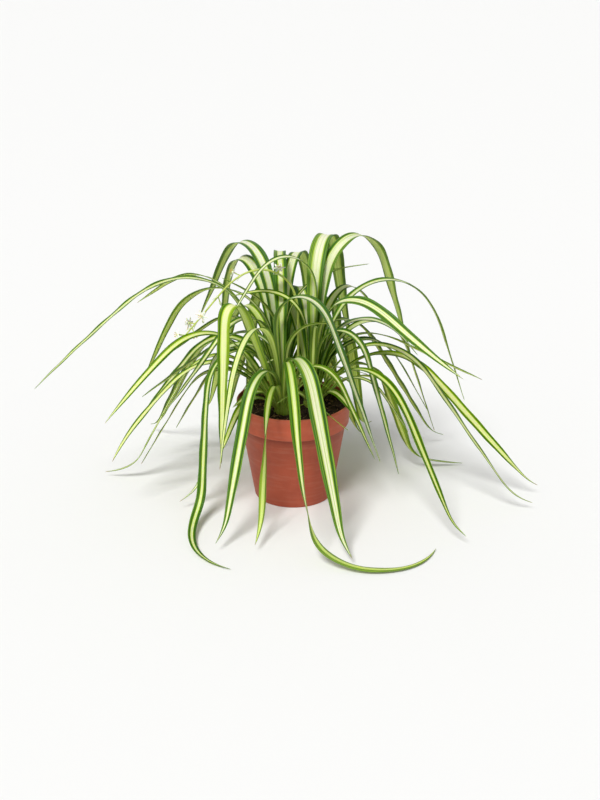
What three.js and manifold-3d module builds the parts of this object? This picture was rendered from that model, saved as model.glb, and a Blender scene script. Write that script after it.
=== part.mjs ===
// A spider plant in a round nursery pot: three crowns of striped arching leaves, and one flower stalk.
// Millimetres, Z up. The origin is the middle of the pot's flat base.

import * as THREE from 'three';
import { mergeVertices } from 'three/addons/utils/BufferGeometryUtils.js';
import Module from 'manifold-3d';

const wasm = await Module();
wasm.setup();

// Pot, as radii and heights of its outer face
const POT_HEIGHT = 108;
const POT_BASE_RADIUS = 42;
const POT_NECK_RADIUS = 56;
const RIM_RADIUS = 60;
const RIM_FOOT_RADIUS = 59;
const RIM_BAND = 24;
const POT_WALL = 1.6;
const POT_SIDES = 48;
const DRAIN_HOLES = 8;
const DRAIN_RADIUS = 3.5;
const DRAIN_CIRCLE = 33;

// Soil, which fills the pot to a finger's breadth below the rim
const FIT = 0.3;
const SOIL_TOP = 99;
const SOIL_RINGS = 6;
const SOIL_RELIEF = 1.3;

// Crowns: the short neck of sheathed leaf bases that stands in the soil
const CROWNS = {
  front: { x: -12, y: -16, outward: -200 },
  right: { x: 20, y: 2, outward: 45 },
  back: { x: -10, y: 20, outward: 110 },
};
const NECK_SIDES = 12;
const NECK_DEPTH = 16;
const NECK_PROFILE = [[7, -NECK_DEPTH], [9, -8], [9, 3], [7.5, 9], [5, 14], [3, 17]];
const FOOT_OUT = [7, 1];
const FOOT_UP = [2, 13];
const FOOT_RISES = [50, 92];

// Leaves
const COURSE_STEPS = 56;
const STEPS_PER_SECTION = 4;
const LEAF_THICKNESS = 1.3;
const WIDEST_AT = 0.42;
const BASE_SHARE = 0.38;
const FOLD_AT_BASE = 26;
const FOLD_OUT = 9;
const FLOOR_LINE = 1.8;
const LANDING = 30;
const ROLL_LIFT = 50;

// Leaves that can be told apart from the front. Each row holds: crown, compass bearing of the leaf,
// rise at its foot, length, width, slope it falls to, share of its length where the arch begins and
// where it ends, swing of the bearing towards the tip, and roll about its own length.
// Angles are in degrees, bearing 0 points to +X and 90 to +Y.
const SHOWN_LEAVES = [
  ['front', -122, 76, 252, 14, -68, 0.04, 0.46, 0, 0],
  ['front', -88, 70, 428, 13, -72, 0.05, 0.38, 165, 180],
  ['front', -69, 81, 292, 18, -64, 0.06, 0.44, 0, 0],
  ['front', -36, 70, 185, 11, -62, 0.12, 0.60, 10, 0],
  ['front', -27, 95, 325, 17, -68, 0.21, 0.54, 0, 0],
  ['front', -184, 58, 240, 14, -45, 0.05, 0.60, 60, 0],
  ['front', -173, 80, 288, 13, -84, 0.08, 0.52, 20, 0],
  ['front', -147, 52, 104, 12, -60, 0.05, 0.70, 10, 0],
  ['front', -106, 64, 225, 11, -74, 0.05, 0.45, 0, 150],
  ['front', -158, 72, 392, 12, -84, 0.08, 0.38, 140, 0],
  ['front', -136, 66, 315, 18, -86, 0.40, 0.52, 0, 0],
  ['right', 182, 80, 115, 10, -50, 0.10, 0.80, 10, 0],
  ['right', -32, 84, 262, 13, -72, 0.15, 0.52, 0, 0],
  ['right', 6, 71, 205, 13, -60, 0.10, 0.70, 0, 0],
  ['right', -20, 53, 138, 8, -55, 0.10, 0.70, 0, 0],
  ['right', -44, 56, 288, 13, -60, 0.05, 0.55, 0, 0],
  ['right', -20, 65, 345, 15, -54, 0.05, 0.50, 16, 0],
  ['right', -10, 56, 325, 12, -48, 0.05, 0.50, 10, 60],
  ['right', 45, 83, 380, 19, -70, 0.25, 0.70, -30, 0],
  ['right', 74, 86, 370, 19, -70, 0.25, 0.70, -30, 0],
  ['right', -4, 78, 180, 15, -48, 0.20, 0.90, -10, 0],
  ['right', 16, 78, 345, 14, -70, 0.12, 0.75, -16, 0],
  ['right', 190, 92, 265, 13, -56, 0.38, 0.80, 10, 0],
];

// The other leaves are drawn at random within these bounds, tier by tier from the outside in.
// Reach is how far a bearing may turn either way from the crown's outward one.
const TIERS = [
  {
    count: { front: 3, right: 3, back: 10 },
    reach: { front: 55, right: 75, back: 110 },
    rise: [50, 68],
    length: [220, 340],
    width: [12, 17],
    fall: [-80, -50],
    archFrom: [0.03, 0.1],
    archTo: [0.42, 0.6],
  },
  {
    count: { front: 4, right: 5, back: 10 },
    reach: { front: 75, right: 80, back: 120 },
    rise: [70, 84],
    length: [240, 380],
    width: [12, 18],
    fall: [-80, -30],
    archFrom: [0.1, 0.22],
    archTo: [0.55, 0.8],
  },
  {
    count: { front: 3, right: 4, back: 5 },
    reach: { front: 180, right: 180, back: 180 },
    rise: [78, 90],
    length: [120, 240],
    width: [7, 11],
    fall: [-30, 30],
    archFrom: [0.2, 0.4],
    archTo: [0.9, 1.1],
  },
  {
    count: { front: 4, right: 4, back: 5 },
    reach: { front: 180, right: 180, back: 180 },
    rise: [35, 65],
    length: [60, 130],
    width: [6, 9],
    fall: [-50, 10],
    archFrom: [0.1, 0.2],
    archTo: [0.7, 1],
  },
  {
    count: { front: 5, right: 5, back: 6 },
    reach: { front: 100, right: 110, back: 180 },
    rise: [58, 86],
    length: [150, 290],
    width: [9, 14],
    fall: [-75, -25],
    archFrom: [0.06, 0.25],
    archTo: [0.5, 0.9],
    sheath: 55,
  },
];
const SWEEP_MOST = 30;
const ROLL_MOST = 50;
const SEED = 41;
const TRIES = 200;
const CLEAR = 4.6;
const CLEAR_NEAR_CROWN = 3;
const SHEATH_LENGTH = 25;
const SPREAD_LENGTH = 90;
const POT_CLEAR = 2;

// Flower stalk: an arching stem with small star blooms and buds on short side stems.
// Each bloom and bud is given as its share of the stalk's length and its turn about it.
const STALK_FOOT = [6, 13];
const STALK = { compass: 190, rise: 90, length: 290, fall: -48, archFrom: 0.34, archTo: 0.8 };
const STALK_RADIUS = 1.5;
const STALK_TIP_SHARE = 0.5;
const STALK_SIDES = 6;
const STALK_DEPTH = 12;
const SIDE_STEM = { length: 7, radius: 0.7, sides: 5, lean: 0.6 };
const BLOOMS = [[0.56, 60], [0.7, 115], [0.87, 20], [0.92, 150], [0.955, -60], [0.99, 80]];
const BUDS = [[0.62, 200], [0.8, 260], [0.9, 240], [0.975, 10]];
const BUD_RADIUS = 1.3;
const PETALS = 6;
const PETAL_LENGTH = 7.5;
const PETAL_HALF_WIDTH = 1.5;
const PETAL_THICKNESS = 0.8;
const BLOOM_CORE = 1.5;

// Colours seen in daylight
const TERRACOTTA = 0xa9583f;
const PEAT = 0x2c2017;
const LEAF_GREEN = 0x6f9f45;
const STALK_GREEN = 0xb9c860;
const PETAL_WHITE = 0xf6f5ec;

const radians = THREE.MathUtils.degToRad;

function smooth(x) {
  const t = Math.min(1, Math.max(0, x));
  return t * t * (3 - 2 * t);
}

// Even draws between 0 and 1 from a whole-number seed
function drawsFrom(seed) {
  let state = seed;
  return () => {
    state = (state * 1664525 + 1013904223) % 4294967296;
    return state / 4294967296;
  };
}

function between([low, high], share) {
  return low + (high - low) * share;
}

// Solid from a geometry whose faces close, with shared corners merged and flat triangles dropped
function solidOf(geometry) {
  const bare = geometry.clone();
  bare.deleteAttribute('normal');
  bare.deleteAttribute('uv');
  const merged = mergeVertices(bare, 1e-4);
  const corners = merged.index.array;
  const kept = [];
  for (let i = 0; i < corners.length; i += 3) {
    const [a, b, c] = corners.slice(i, i + 3);
    if (a !== b && b !== c && c !== a) kept.push(a, b, c);
  }
  return new wasm.Manifold(new wasm.Mesh({
    numProp: 3,
    vertProperties: merged.attributes.position.array,
    triVerts: new Uint32Array(kept),
  }));
}

function geometryOf(solid) {
  const mesh = solid.getMesh();
  const geometry = new THREE.BufferGeometry();
  geometry.setAttribute('position', new THREE.BufferAttribute(mesh.vertProperties, 3));
  geometry.setIndex(new THREE.BufferAttribute(mesh.triVerts, 1));
  geometry.computeVertexNormals();
  return geometry;
}

function finish(color, roughness) {
  return new THREE.MeshStandardMaterial({ color, roughness, metalness: 0, flatShading: true });
}

function named(name, geometry, material) {
  const mesh = new THREE.Mesh(geometry, material);
  mesh.name = name;
  return mesh;
}

// Turned shape about Z from a profile of [radius, height] that runs upwards on its outer side
function turned(profile, sides) {
  const outline = profile.map(([radius, height]) => new THREE.Vector2(radius, height));
  return new THREE.LatheGeometry(outline, sides).rotateX(Math.PI / 2);
}

// Upright round bar from one height to another
function bar(radius, low, high, sides, x, y) {
  const geometry = new THREE.CylinderGeometry(radius, radius, high - low, sides);
  geometry.rotateX(Math.PI / 2);
  return geometry.translate(x, y, (low + high) / 2);
}

function pot() {
  const bandFoot = POT_HEIGHT - RIM_BAND;
  const shell = turned([
    [0, 0],
    [POT_BASE_RADIUS, 0],
    [POT_NECK_RADIUS, bandFoot],
    [RIM_FOOT_RADIUS, bandFoot],
    [RIM_RADIUS, POT_HEIGHT - 1],
    [RIM_RADIUS - 0.5, POT_HEIGHT],
    [RIM_RADIUS - POT_WALL, POT_HEIGHT],
    [RIM_FOOT_RADIUS - POT_WALL, bandFoot + POT_WALL],
    [POT_NECK_RADIUS - POT_WALL, bandFoot + POT_WALL],
    [POT_BASE_RADIUS - POT_WALL, POT_WALL],
    [0, POT_WALL],
  ], POT_SIDES);
  let body = solidOf(shell);
  for (let i = 0; i < DRAIN_HOLES; i += 1) {
    const turn = (i + 0.5) * 2 * Math.PI / DRAIN_HOLES;
    const x = DRAIN_CIRCLE * Math.cos(turn);
    const y = DRAIN_CIRCLE * Math.sin(turn);
    body = body.subtract(solidOf(bar(DRAIN_RADIUS, -1, POT_WALL + 1, 12, x, y)));
  }
  return named('pot', geometryOf(body), finish(TERRACOTTA, 0.6));
}

// Height of the soil's crumbly top above its mean level
function soilRelief(x, y) {
  const swell = Math.sin(0.13 * x + 0.7) * Math.cos(0.11 * y - 0.4);
  const crumbs = Math.sin(0.31 * x - 0.23 * y) * Math.cos(0.27 * y + 0.19 * x);
  return SOIL_RELIEF * (0.6 * swell + 0.4 * crumbs);
}

function soil() {
  const bandFoot = POT_HEIGHT - RIM_BAND;
  const bandInside = RIM_FOOT_RADIUS - POT_WALL - FIT;
  const neckInside = POT_NECK_RADIUS - POT_WALL - FIT;
  const profile = [
    [0, POT_WALL + FIT],
    [POT_BASE_RADIUS - POT_WALL - FIT, POT_WALL + FIT],
    [neckInside, bandFoot + POT_WALL + FIT],
    [bandInside, bandFoot + POT_WALL + FIT],
  ];
  for (let ring = SOIL_RINGS; ring >= 0; ring -= 1) {
    profile.push([bandInside * ring / SOIL_RINGS, SOIL_TOP]);
  }
  const lump = turned(profile, POT_SIDES);
  const places = lump.attributes.position;
  for (let i = 0; i < places.count; i += 1) {
    if (places.getZ(i) > SOIL_TOP - 0.01) {
      places.setZ(i, SOIL_TOP + soilRelief(places.getX(i), places.getY(i)));
    }
  }
  let body = solidOf(lump);
  const top = SOIL_TOP + 10;
  for (const crown of Object.values(CROWNS)) {
    const hole = turned([
      [0, SOIL_TOP - NECK_DEPTH - FIT],
      [NECK_PROFILE[0][0] + FIT, SOIL_TOP - NECK_DEPTH - FIT],
      [NECK_PROFILE[1][0] + FIT, SOIL_TOP + NECK_PROFILE[1][1]],
      [NECK_PROFILE[2][0] + FIT, top],
      [0, top],
    ], NECK_SIDES);
    body = body.subtract(solidOf(hole.translate(crown.x, crown.y, 0)));
  }
  const [x, y] = STALK_FOOT;
  const socket = bar(STALK_RADIUS + FIT, SOIL_TOP - STALK_DEPTH - FIT, top, 2 * STALK_SIDES, x, y);
  body = body.subtract(solidOf(socket));
  return named('soil', geometryOf(body), finish(PEAT, 0.95));
}

// Share of a leaf's full width at a share of its length
function widthShare(u) {
  const grown = BASE_SHARE + (1 - BASE_SHARE) * smooth(u / WIDEST_AT);
  const ebb = Math.max(0, (u - WIDEST_AT) / (1 - WIDEST_AT));
  return grown * (1 - ebb ** 2.6);
}

// Where a leaf leaves its crown: low and well out if it leans, high and near the middle if it is steep
function footOf(leaf) {
  const crown = CROWNS[leaf.crown];
  const [low, high] = FOOT_RISES;
  const inward = Math.min(1, Math.max(0, (leaf.rise - low) / (high - low)));
  const out = between(FOOT_OUT, inward);
  return new THREE.Vector3(
    crown.x + out * Math.cos(radians(leaf.compass)),
    crown.y + out * Math.sin(radians(leaf.compass)),
    SOIL_TOP + between(FOOT_UP, inward),
  );
}

// Follows a leaf from its foot to its tip. It rises, arches over and falls, and where it meets the
// floor it runs out along it. Each stop has its place, its directions along, to the side and
// upwards, half its width and its fold.
function courseOf(leaf, foot) {
  const place = foot.clone();
  const step = leaf.length / COURSE_STEPS;
  const flatRoll = leaf.roll > 90 ? 180 : 0;
  const stops = [];
  for (let k = 0; k <= COURSE_STEPS; k += 1) {
    const u = k / COURSE_STEPS;
    const arch = smooth((u - leaf.archFrom) / (leaf.archTo - leaf.archFrom));
    const slope = radians(leaf.rise + (leaf.fall - leaf.rise) * arch);
    const bearing = radians(leaf.compass + leaf.sweep * u ** 3);
    const climb = Math.max(Math.sin(slope), -(place.z - FLOOR_LINE) / LANDING);
    const ahead = Math.sqrt(1 - climb * climb) * (Math.cos(slope) < 0 ? -1 : 1);
    const along = new THREE.Vector3(ahead * Math.cos(bearing), ahead * Math.sin(bearing), climb);
    const across = new THREE.Vector3(-Math.sin(bearing), Math.cos(bearing), 0);
    const above = new THREE.Vector3().crossVectors(along, across);
    const lift = Math.min(1, Math.max(0, (place.z - FLOOR_LINE) / ROLL_LIFT));
    const turn = leaf.roll * smooth((u - 0.1) / 0.8);
    const roll = radians(flatRoll * smooth((u - 0.1) / 0.5) * (1 - lift) + turn * lift);
    const side = across.clone().multiplyScalar(Math.cos(roll)).addScaledVector(above, Math.sin(roll));
    const up = above.clone().multiplyScalar(Math.cos(roll)).addScaledVector(across, -Math.sin(roll));
    const fold = radians(FOLD_OUT + (FOLD_AT_BASE - FOLD_OUT) * (1 - smooth(u / 0.5)));
    const half = leaf.width / 2 * widthShare(u);
    stops.push({ place: place.clone(), along, side, up, half, fold });
    place.addScaledVector(along, step);
  }
  return stops;
}

// Points on the middle and near both edges of a leaf, by which leaves are kept apart
function feelersOf(stops) {
  const points = [];
  for (const stop of stops) {
    for (const share of [-0.85, 0, 0.85]) {
      points.push(stop.place.clone().addScaledVector(stop.side, stop.half * share));
    }
  }
  return points;
}

function meetsPot(points) {
  return points.some((point, i) => {
    const out = Math.hypot(point.x, point.y);
    const overSoil = out < RIM_FOOT_RADIUS - POT_WALL - POT_CLEAR && point.z > SOIL_TOP + POT_CLEAR;
    return i > 9 && point.z < POT_HEIGHT + POT_CLEAR && out < RIM_RADIUS + POT_CLEAR && !overSoil;
  });
}

// True if two leaves come too near each other, past the sheathed stretch if they share a crown
function meet(one, other) {
  if (!one.box.intersectsBox(other.box)) return false;
  const shared = one.crown === other.crown;
  const feelerAt = (leaf, distance) => 3 * Math.ceil(distance / leaf.length * COURSE_STEPS);
  const first = shared ? Math.max(one.sheath, other.sheath) : 0;
  const spread = shared ? SPREAD_LENGTH : 0;
  for (let i = feelerAt(one, first); i < one.feelers.length; i += 1) {
    for (let j = feelerAt(other, first); j < other.feelers.length; j += 1) {
      const open = i >= feelerAt(one, spread) && j >= feelerAt(other, spread);
      const apart = one.feelers[i].distanceTo(other.feelers[j]);
      if (apart < (open ? CLEAR : CLEAR_NEAR_CROWN)) return true;
    }
  }
  return false;
}

function grown(leaf) {
  const stops = courseOf(leaf, footOf(leaf));
  const feelers = feelersOf(stops);
  const box = new THREE.Box3().setFromPoints(feelers).expandByScalar(CLEAR / 2);
  return { ...leaf, sheath: leaf.sheath ?? SHEATH_LENGTH, stops, feelers, box };
}

// All the leaves: those listed, and then as many as each tier asks for that find a clear way
function allLeaves(stalk) {
  const leaves = SHOWN_LEAVES.map((row) => {
    const [crown, compass, rise, length, width, fall, archFrom, archTo, sweep, roll] = row;
    return grown({ crown, compass, rise, length, width, fall, archFrom, archTo, sweep, roll });
  });
  const draw = drawsFrom(SEED);
  const drawn = (tier, crown, share) => grown({
    crown,
    sheath: tier.sheath,
    compass: CROWNS[crown].outward + tier.reach[crown] * (2 * share - 1),
    rise: between(tier.rise, draw()),
    length: between(tier.length, draw()),
    width: between(tier.width, draw()),
    fall: between(tier.fall, draw()),
    archFrom: between(tier.archFrom, draw()),
    archTo: between(tier.archTo, draw()),
    sweep: SWEEP_MOST * (2 * draw() - 1),
    roll: ROLL_MOST * (2 * draw() - 1),
  });
  const fits = (leaf) => !meetsPot(leaf.feelers) && ![stalk, ...leaves].some((other) => meet(leaf, other));
  for (const tier of TIERS) {
    for (const [crown, count] of Object.entries(tier.count)) {
      for (let i = 0; i < count; i += 1) {
        let leaf;
        for (let attempt = 0; attempt < TRIES && !(leaf && fits(leaf)); attempt += 1) {
          leaf = drawn(tier, crown, (i + 1.6 * draw() - 0.3) / count);
        }
        if (fits(leaf)) leaves.push(leaf);
      }
    }
  }
  return leaves;
}

// Skin over rings of points that ends in a tip. The faces of each pair of rings are split from the
// even corners, so that a blade's upper and lower faces are split alike.
function skinned(rings, tip) {
  const sides = rings[0].length;
  const faces = [];
  for (let corner = 2; corner < sides; corner += 1) faces.push(0, corner, corner - 1);
  for (let r = 0; r < rings.length - 1; r += 1) {
    for (let corner = 0; corner < sides; corner += 1) {
      const a = sides * r + corner;
      const b = sides * r + (corner + 1) % sides;
      const [c, d] = [a + sides, b + sides];
      if (corner % 2 === 0) faces.push(a, d, c, a, b, d);
      else faces.push(a, b, c, b, d, c);
    }
  }
  const end = sides * (rings.length - 1);
  for (let corner = 0; corner < sides; corner += 1) {
    faces.push(end + corner, end + (corner + 1) % sides, end + sides);
  }
  const geometry = new THREE.BufferGeometry().setFromPoints([...rings.flat(), tip]);
  geometry.setIndex(faces);
  return geometry;
}

// Ring round a blade: its two edges, raised by the fold, and the middle of its two faces
function bladeRing(stop, thickness) {
  const { place, side, up, half, fold } = stop;
  const out = half * Math.cos(fold);
  const raised = half * Math.sin(fold);
  return [
    place.clone().addScaledVector(side, out).addScaledVector(up, raised),
    place.clone().addScaledVector(up, thickness / 2),
    place.clone().addScaledVector(side, -out).addScaledVector(up, raised),
    place.clone().addScaledVector(up, -thickness / 2),
  ];
}

function bladeOf(leaf) {
  const sections = leaf.stops.filter((stop, k) => k % STEPS_PER_SECTION === 0);
  const rings = sections.slice(0, -1).map((stop) => bladeRing(stop, LEAF_THICKNESS));
  return skinned(rings, sections.at(-1).place);
}

function neck(crown) {
  const profile = NECK_PROFILE.map(([radius, height]) => [radius, SOIL_TOP + height]);
  const low = [0, profile[0][1]];
  const high = [0, profile.at(-1)[1] + 1];
  return turned([low, ...profile, high], NECK_SIDES).translate(crown.x, crown.y, 0);
}

// Joins solids into one body. Hollows that joining seals are filled.
function joined(solids) {
  const body = solids.reduce((whole, solid) => whole.add(solid));
  return body.decompose().reduce((best, piece) => (piece.volume() > best.volume() ? piece : best));
}

// A crown is one growth: its neck with every leaf that springs from it
function crownMesh(name, leaves) {
  const blades = leaves.filter((leaf) => leaf.crown === name).map((leaf) => solidOf(bladeOf(leaf)));
  const body = joined([solidOf(neck(CROWNS[name])), ...blades]);
  return named(`crown_${name}`, geometryOf(body), finish(LEAF_GREEN, 0.5));
}

// Foot and direction of a side stem at a share of the stalk's length
function sideStem(stops, [share, turn]) {
  const stop = stops[Math.round(share * COURSE_STEPS)];
  const away = new THREE.Vector3()
    .addScaledVector(stop.side, Math.cos(radians(turn)))
    .addScaledVector(stop.up, Math.sin(radians(turn)))
    .addScaledVector(stop.along, SIDE_STEM.lean)
    .normalize();
  return { foot: stop.place, away };
}

function placedAlong(geometry, place, direction) {
  const turn = new THREE.Quaternion().setFromUnitVectors(new THREE.Vector3(0, 1, 0), direction);
  return geometry.applyQuaternion(turn).translate(place.x, place.y, place.z);
}

function stalkRings(stops) {
  return stops.filter((stop, k) => k % STEPS_PER_SECTION === 0).map((stop, i, all) => {
    const radius = STALK_RADIUS * (1 - (1 - STALK_TIP_SHARE) * i / all.length);
    return Array.from({ length: STALK_SIDES }, (unused, corner) => {
      const angle = 2 * Math.PI * corner / STALK_SIDES;
      return stop.place.clone()
        .addScaledVector(stop.side, radius * Math.cos(angle))
        .addScaledVector(stop.up, radius * Math.sin(angle));
    });
  });
}

function stalkMesh(stops) {
  const last = stops.at(-1);
  const tip = last.place.clone().addScaledVector(last.along, STALK_RADIUS);
  const solids = [solidOf(skinned(stalkRings(stops), tip))];
  for (const spot of [...BLOOMS, ...BUDS]) {
    const { foot, away } = sideStem(stops, spot);
    const { length, radius, sides } = SIDE_STEM;
    const stem = new THREE.CylinderGeometry(radius, radius, length, sides);
    solids.push(solidOf(placedAlong(stem, foot.clone().addScaledVector(away, length / 2), away)));
  }
  for (const spot of BUDS) {
    const { foot, away } = sideStem(stops, spot);
    const bud = new THREE.OctahedronGeometry(BUD_RADIUS, 1).scale(1, 2, 1);
    const place = foot.clone().addScaledVector(away, SIDE_STEM.length + BUD_RADIUS);
    solids.push(solidOf(placedAlong(bud, place, away)));
  }
  return named('flower_stalk', geometryOf(joined(solids)), finish(STALK_GREEN, 0.5));
}

// Six-petalled star on a small core, facing along Y
function bloomSolid() {
  const parts = [solidOf(new THREE.IcosahedronGeometry(BLOOM_CORE, 0))];
  for (let i = 0; i < PETALS; i += 1) {
    const turn = 2 * Math.PI * i / PETALS;
    const out = new THREE.Vector3(Math.cos(turn), 0, Math.sin(turn));
    const side = new THREE.Vector3(-Math.sin(turn), 0, Math.cos(turn));
    const up = new THREE.Vector3().crossVectors(out, side);
    const rings = [[0.05, 0.6, 0], [0.4, 1, 0.5], [0.75, 0.8, 0.3]].map(([share, wide, lift]) => {
      const place = out.clone().multiplyScalar(PETAL_LENGTH * share).addScaledVector(up, lift);
      return bladeRing({ place, side, up, half: PETAL_HALF_WIDTH * wide, fold: 0.2 }, PETAL_THICKNESS);
    });
    parts.push(solidOf(skinned(rings, out.clone().multiplyScalar(PETAL_LENGTH))));
  }
  return joined(parts);
}

function bloomPlace(stops, spot) {
  const { foot, away } = sideStem(stops, spot);
  return { place: foot.clone().addScaledVector(away, SIDE_STEM.length + BLOOM_CORE + FIT), away };
}

function bloomMeshes(stops) {
  return BLOOMS.map((spot, i) => {
    const { place, away } = bloomPlace(stops, spot);
    const geometry = placedAlong(geometryOf(bloomSolid()), place, away);
    return named(`bloom_${i + 1}`, geometry, finish(PETAL_WHITE, 0.5));
  });
}

// The stalk as leaves meet it: its own length, and the reach of each bloom and bud
function stalkInWay(stops) {
  const feelers = stops.map((stop) => stop.place);
  for (const spot of [...BLOOMS, ...BUDS]) {
    const { place } = bloomPlace(stops, spot);
    for (let i = 0; i < 8; i += 1) {
      const corner = new THREE.Vector3(i & 1 ? 1 : -1, i & 2 ? 1 : -1, i & 4 ? 1 : -1);
      feelers.push(place.clone().addScaledVector(corner, PETAL_LENGTH / 2));
    }
  }
  const box = new THREE.Box3().setFromPoints(feelers).expandByScalar(CLEAR / 2);
  return { crown: 'stalk', length: STALK.length, stops, feelers, box };
}

const stalkFoot = new THREE.Vector3(...STALK_FOOT, SOIL_TOP - STALK_DEPTH);
const stalkStops = courseOf({ ...STALK, width: 0, sweep: 0, roll: 0 }, stalkFoot);
const stalk = stalkInWay(stalkStops);
const leaves = allLeaves(stalk);

const plant = new THREE.Group();
plant.add(pot(), soil());
for (const name of Object.keys(CROWNS)) plant.add(crownMesh(name, leaves));
plant.add(stalkMesh(stalkStops), ...bloomMeshes(stalkStops));

export default plant;
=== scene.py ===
"""A potted spider plant: striped leaves, a flower stalk with star blooms, peat and a nursery pot.

Lengths in the settings are in metres. All other lengths are in millimetres until a mesh is made from
them. Bearings, rises, falls, swings and rolls of leaves are in degrees.
"""

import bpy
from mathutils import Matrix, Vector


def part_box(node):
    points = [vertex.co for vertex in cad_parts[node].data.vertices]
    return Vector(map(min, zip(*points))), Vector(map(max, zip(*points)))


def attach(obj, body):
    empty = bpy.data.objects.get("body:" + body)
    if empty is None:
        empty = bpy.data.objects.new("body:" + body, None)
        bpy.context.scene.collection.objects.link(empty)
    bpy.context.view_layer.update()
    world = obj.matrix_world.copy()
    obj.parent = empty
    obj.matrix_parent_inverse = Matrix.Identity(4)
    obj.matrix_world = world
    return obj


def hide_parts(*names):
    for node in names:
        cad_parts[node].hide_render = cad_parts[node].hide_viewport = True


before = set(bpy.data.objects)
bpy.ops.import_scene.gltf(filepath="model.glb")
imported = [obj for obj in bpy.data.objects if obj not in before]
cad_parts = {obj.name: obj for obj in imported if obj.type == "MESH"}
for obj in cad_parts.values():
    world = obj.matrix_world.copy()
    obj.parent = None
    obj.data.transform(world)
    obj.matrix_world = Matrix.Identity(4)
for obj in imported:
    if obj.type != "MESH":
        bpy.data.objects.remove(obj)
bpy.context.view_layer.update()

import math
from functools import lru_cache

import bmesh
import bpy
import numpy as np
from bpy.props import FloatProperty, FloatVectorProperty, IntProperty, PointerProperty
from mathutils import Vector

bl_info = {
    "name": "Potted Spider Plant",
    "version": (1, 0, 0),
    "blender": (4, 5, 0),
    "location": "3D View > Sidebar > Plant",
    "description": "Grows a variegated spider plant in a round nursery pot",
    "category": "Add Mesh",
}

MM = 0.001

# Pot, in millimetres
POT_HEIGHT = 108
POT_BASE_RADIUS = 42
POT_NECK_RADIUS = 56
POT_WALL = 1.6
POT_FLOOR = 2.4
RIM_RADIUS = 60
RIM_FOOT_RADIUS = 59
RIM_BAND = 24
BAND_FOOT = POT_HEIGHT - RIM_BAND
LIP_SETBACK = 0.2
LIP_DEPTH = 4
LIP_SLOPE = 0.6
RECESS_RADIUS = 26
RECESS_SLOPE = 1
RECESS_DEPTH = 1.2
CORNER_SHARE = 0.45
CORNER_STOPS = (0, 0.25, 0.5, 0.75, 1)
DRAIN_HOLES = 8
DRAIN_RADIUS = 3.5
DRAIN_CIRCLE = 33
DRAIN_SIDES = 32
DRILL_HEIGHTS = (-3, 6)

# Angles below which faces join into one flat face, and above which an edge is sharp
FLAT_ANGLE = 0.3
SHARP_ANGLE = 35

# Soil
FIT = 0.3
SOIL_TOP = 99
SOIL_RADIUS = RIM_FOOT_RADIUS - POT_WALL - FIT
SOIL_NECK_RADIUS = POT_NECK_RADIUS - POT_WALL - FIT
SOIL_BASE_RADIUS = POT_BASE_RADIUS - POT_WALL - FIT
SOIL_RELIEF = 1.3
GRIT_RELIEF = 0.28
SOIL_RINGS = 44
SOIL_SIDES = 120

# Crumbs and fibres on the soil. A crumb's levels, tip, widths and heights are shares of its radius
LITTER_SEED = 7
CRUMB_MARGIN = 2.5
CRUMB_SIZES = (0.3, 1.0)
CRUMB_LEVELS = [(-0.55, 0.7), (0.0, 1.0), (0.55, 0.7)]
CRUMB_RING = 6
CRUMB_TIP = 0.8
CRUMB_WIDTHS = (0.75, 1.25)
CRUMB_HEIGHTS = (0.7, 1.2)
CRUMB_LIFT = 0.25
CRUMB_TONES = (0, 0.9)
FIBRE_MARGIN = 8
FIBRE_STEPS = 7
FIBRE_SIDES = 5
FIBRE_LENGTHS = (3, 10)
FIBRE_RADII = (0.16, 0.32)
FIBRE_BEND = 1.6
FIBRE_LIFT = 0.35
FIBRE_TONES = (0.85, 1.0)

# Crowns: where each stands and the bearing of its open side
CROWNS = {
    "front": (-12, -16, -200),
    "right": (20, 2, 45),
    "back": (-10, 20, 110),
}
LEAF_SEED = 100
NECK_PROFILE = [(7, -16), (9, -8), (9, 3), (7.5, 9), (5, 14), (3, 17)]
NECK_SIDES = 60
NECK_ROWS = 24
FLUTES = 3.5
FLUTE_TWIST = 0.05
FLUTE_DEPTH = 0.07
FLUTE_SINK = 0.04
FLUTE_STRIPES = 0.9
NECK_MARKS = {"along": 0.03, "face": 0.7, "reach": 0.2}
FOOT_OUT = (7, 1)
FOOT_UP = (2, 13)
FOOT_RISES = (50, 92)

# Pointed scales that clasp a neck: how many, and the bounds of their sizes
SCALES = 5
SCALE_STEPS = 12
SCALE_TURN_PLAY = 0.6
SCALE_DEPTH = 5
SCALE_HEIGHTS = (20, 34)
SCALE_OUT = 8.2
SCALE_LEANS = (0.96, 3.36)
SCALE_HALF_WIDTHS = (4.95, 6.6)
SCALE_ALONG = (0.01, 0.13)

# Leaves
COURSE_STEPS = 56
WIDEST_AT = 0.42
BASE_SHARE = 0.38
TIP_TAPER = 2.6
FOLD_AT_BASE = 26
FOLD_OUT = 9
FOLD_SPAN = 0.5
ROLL_FROM = 0.1
ROLL_SPAN = 0.8
FLAT_ROLL_SPAN = 0.5
FLOOR_LINE = 1.8
LANDING = 30
ROLL_LIFT = 50

# Leaves of one crown may touch along this first stretch
SHEATH_LENGTH = 25

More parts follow.
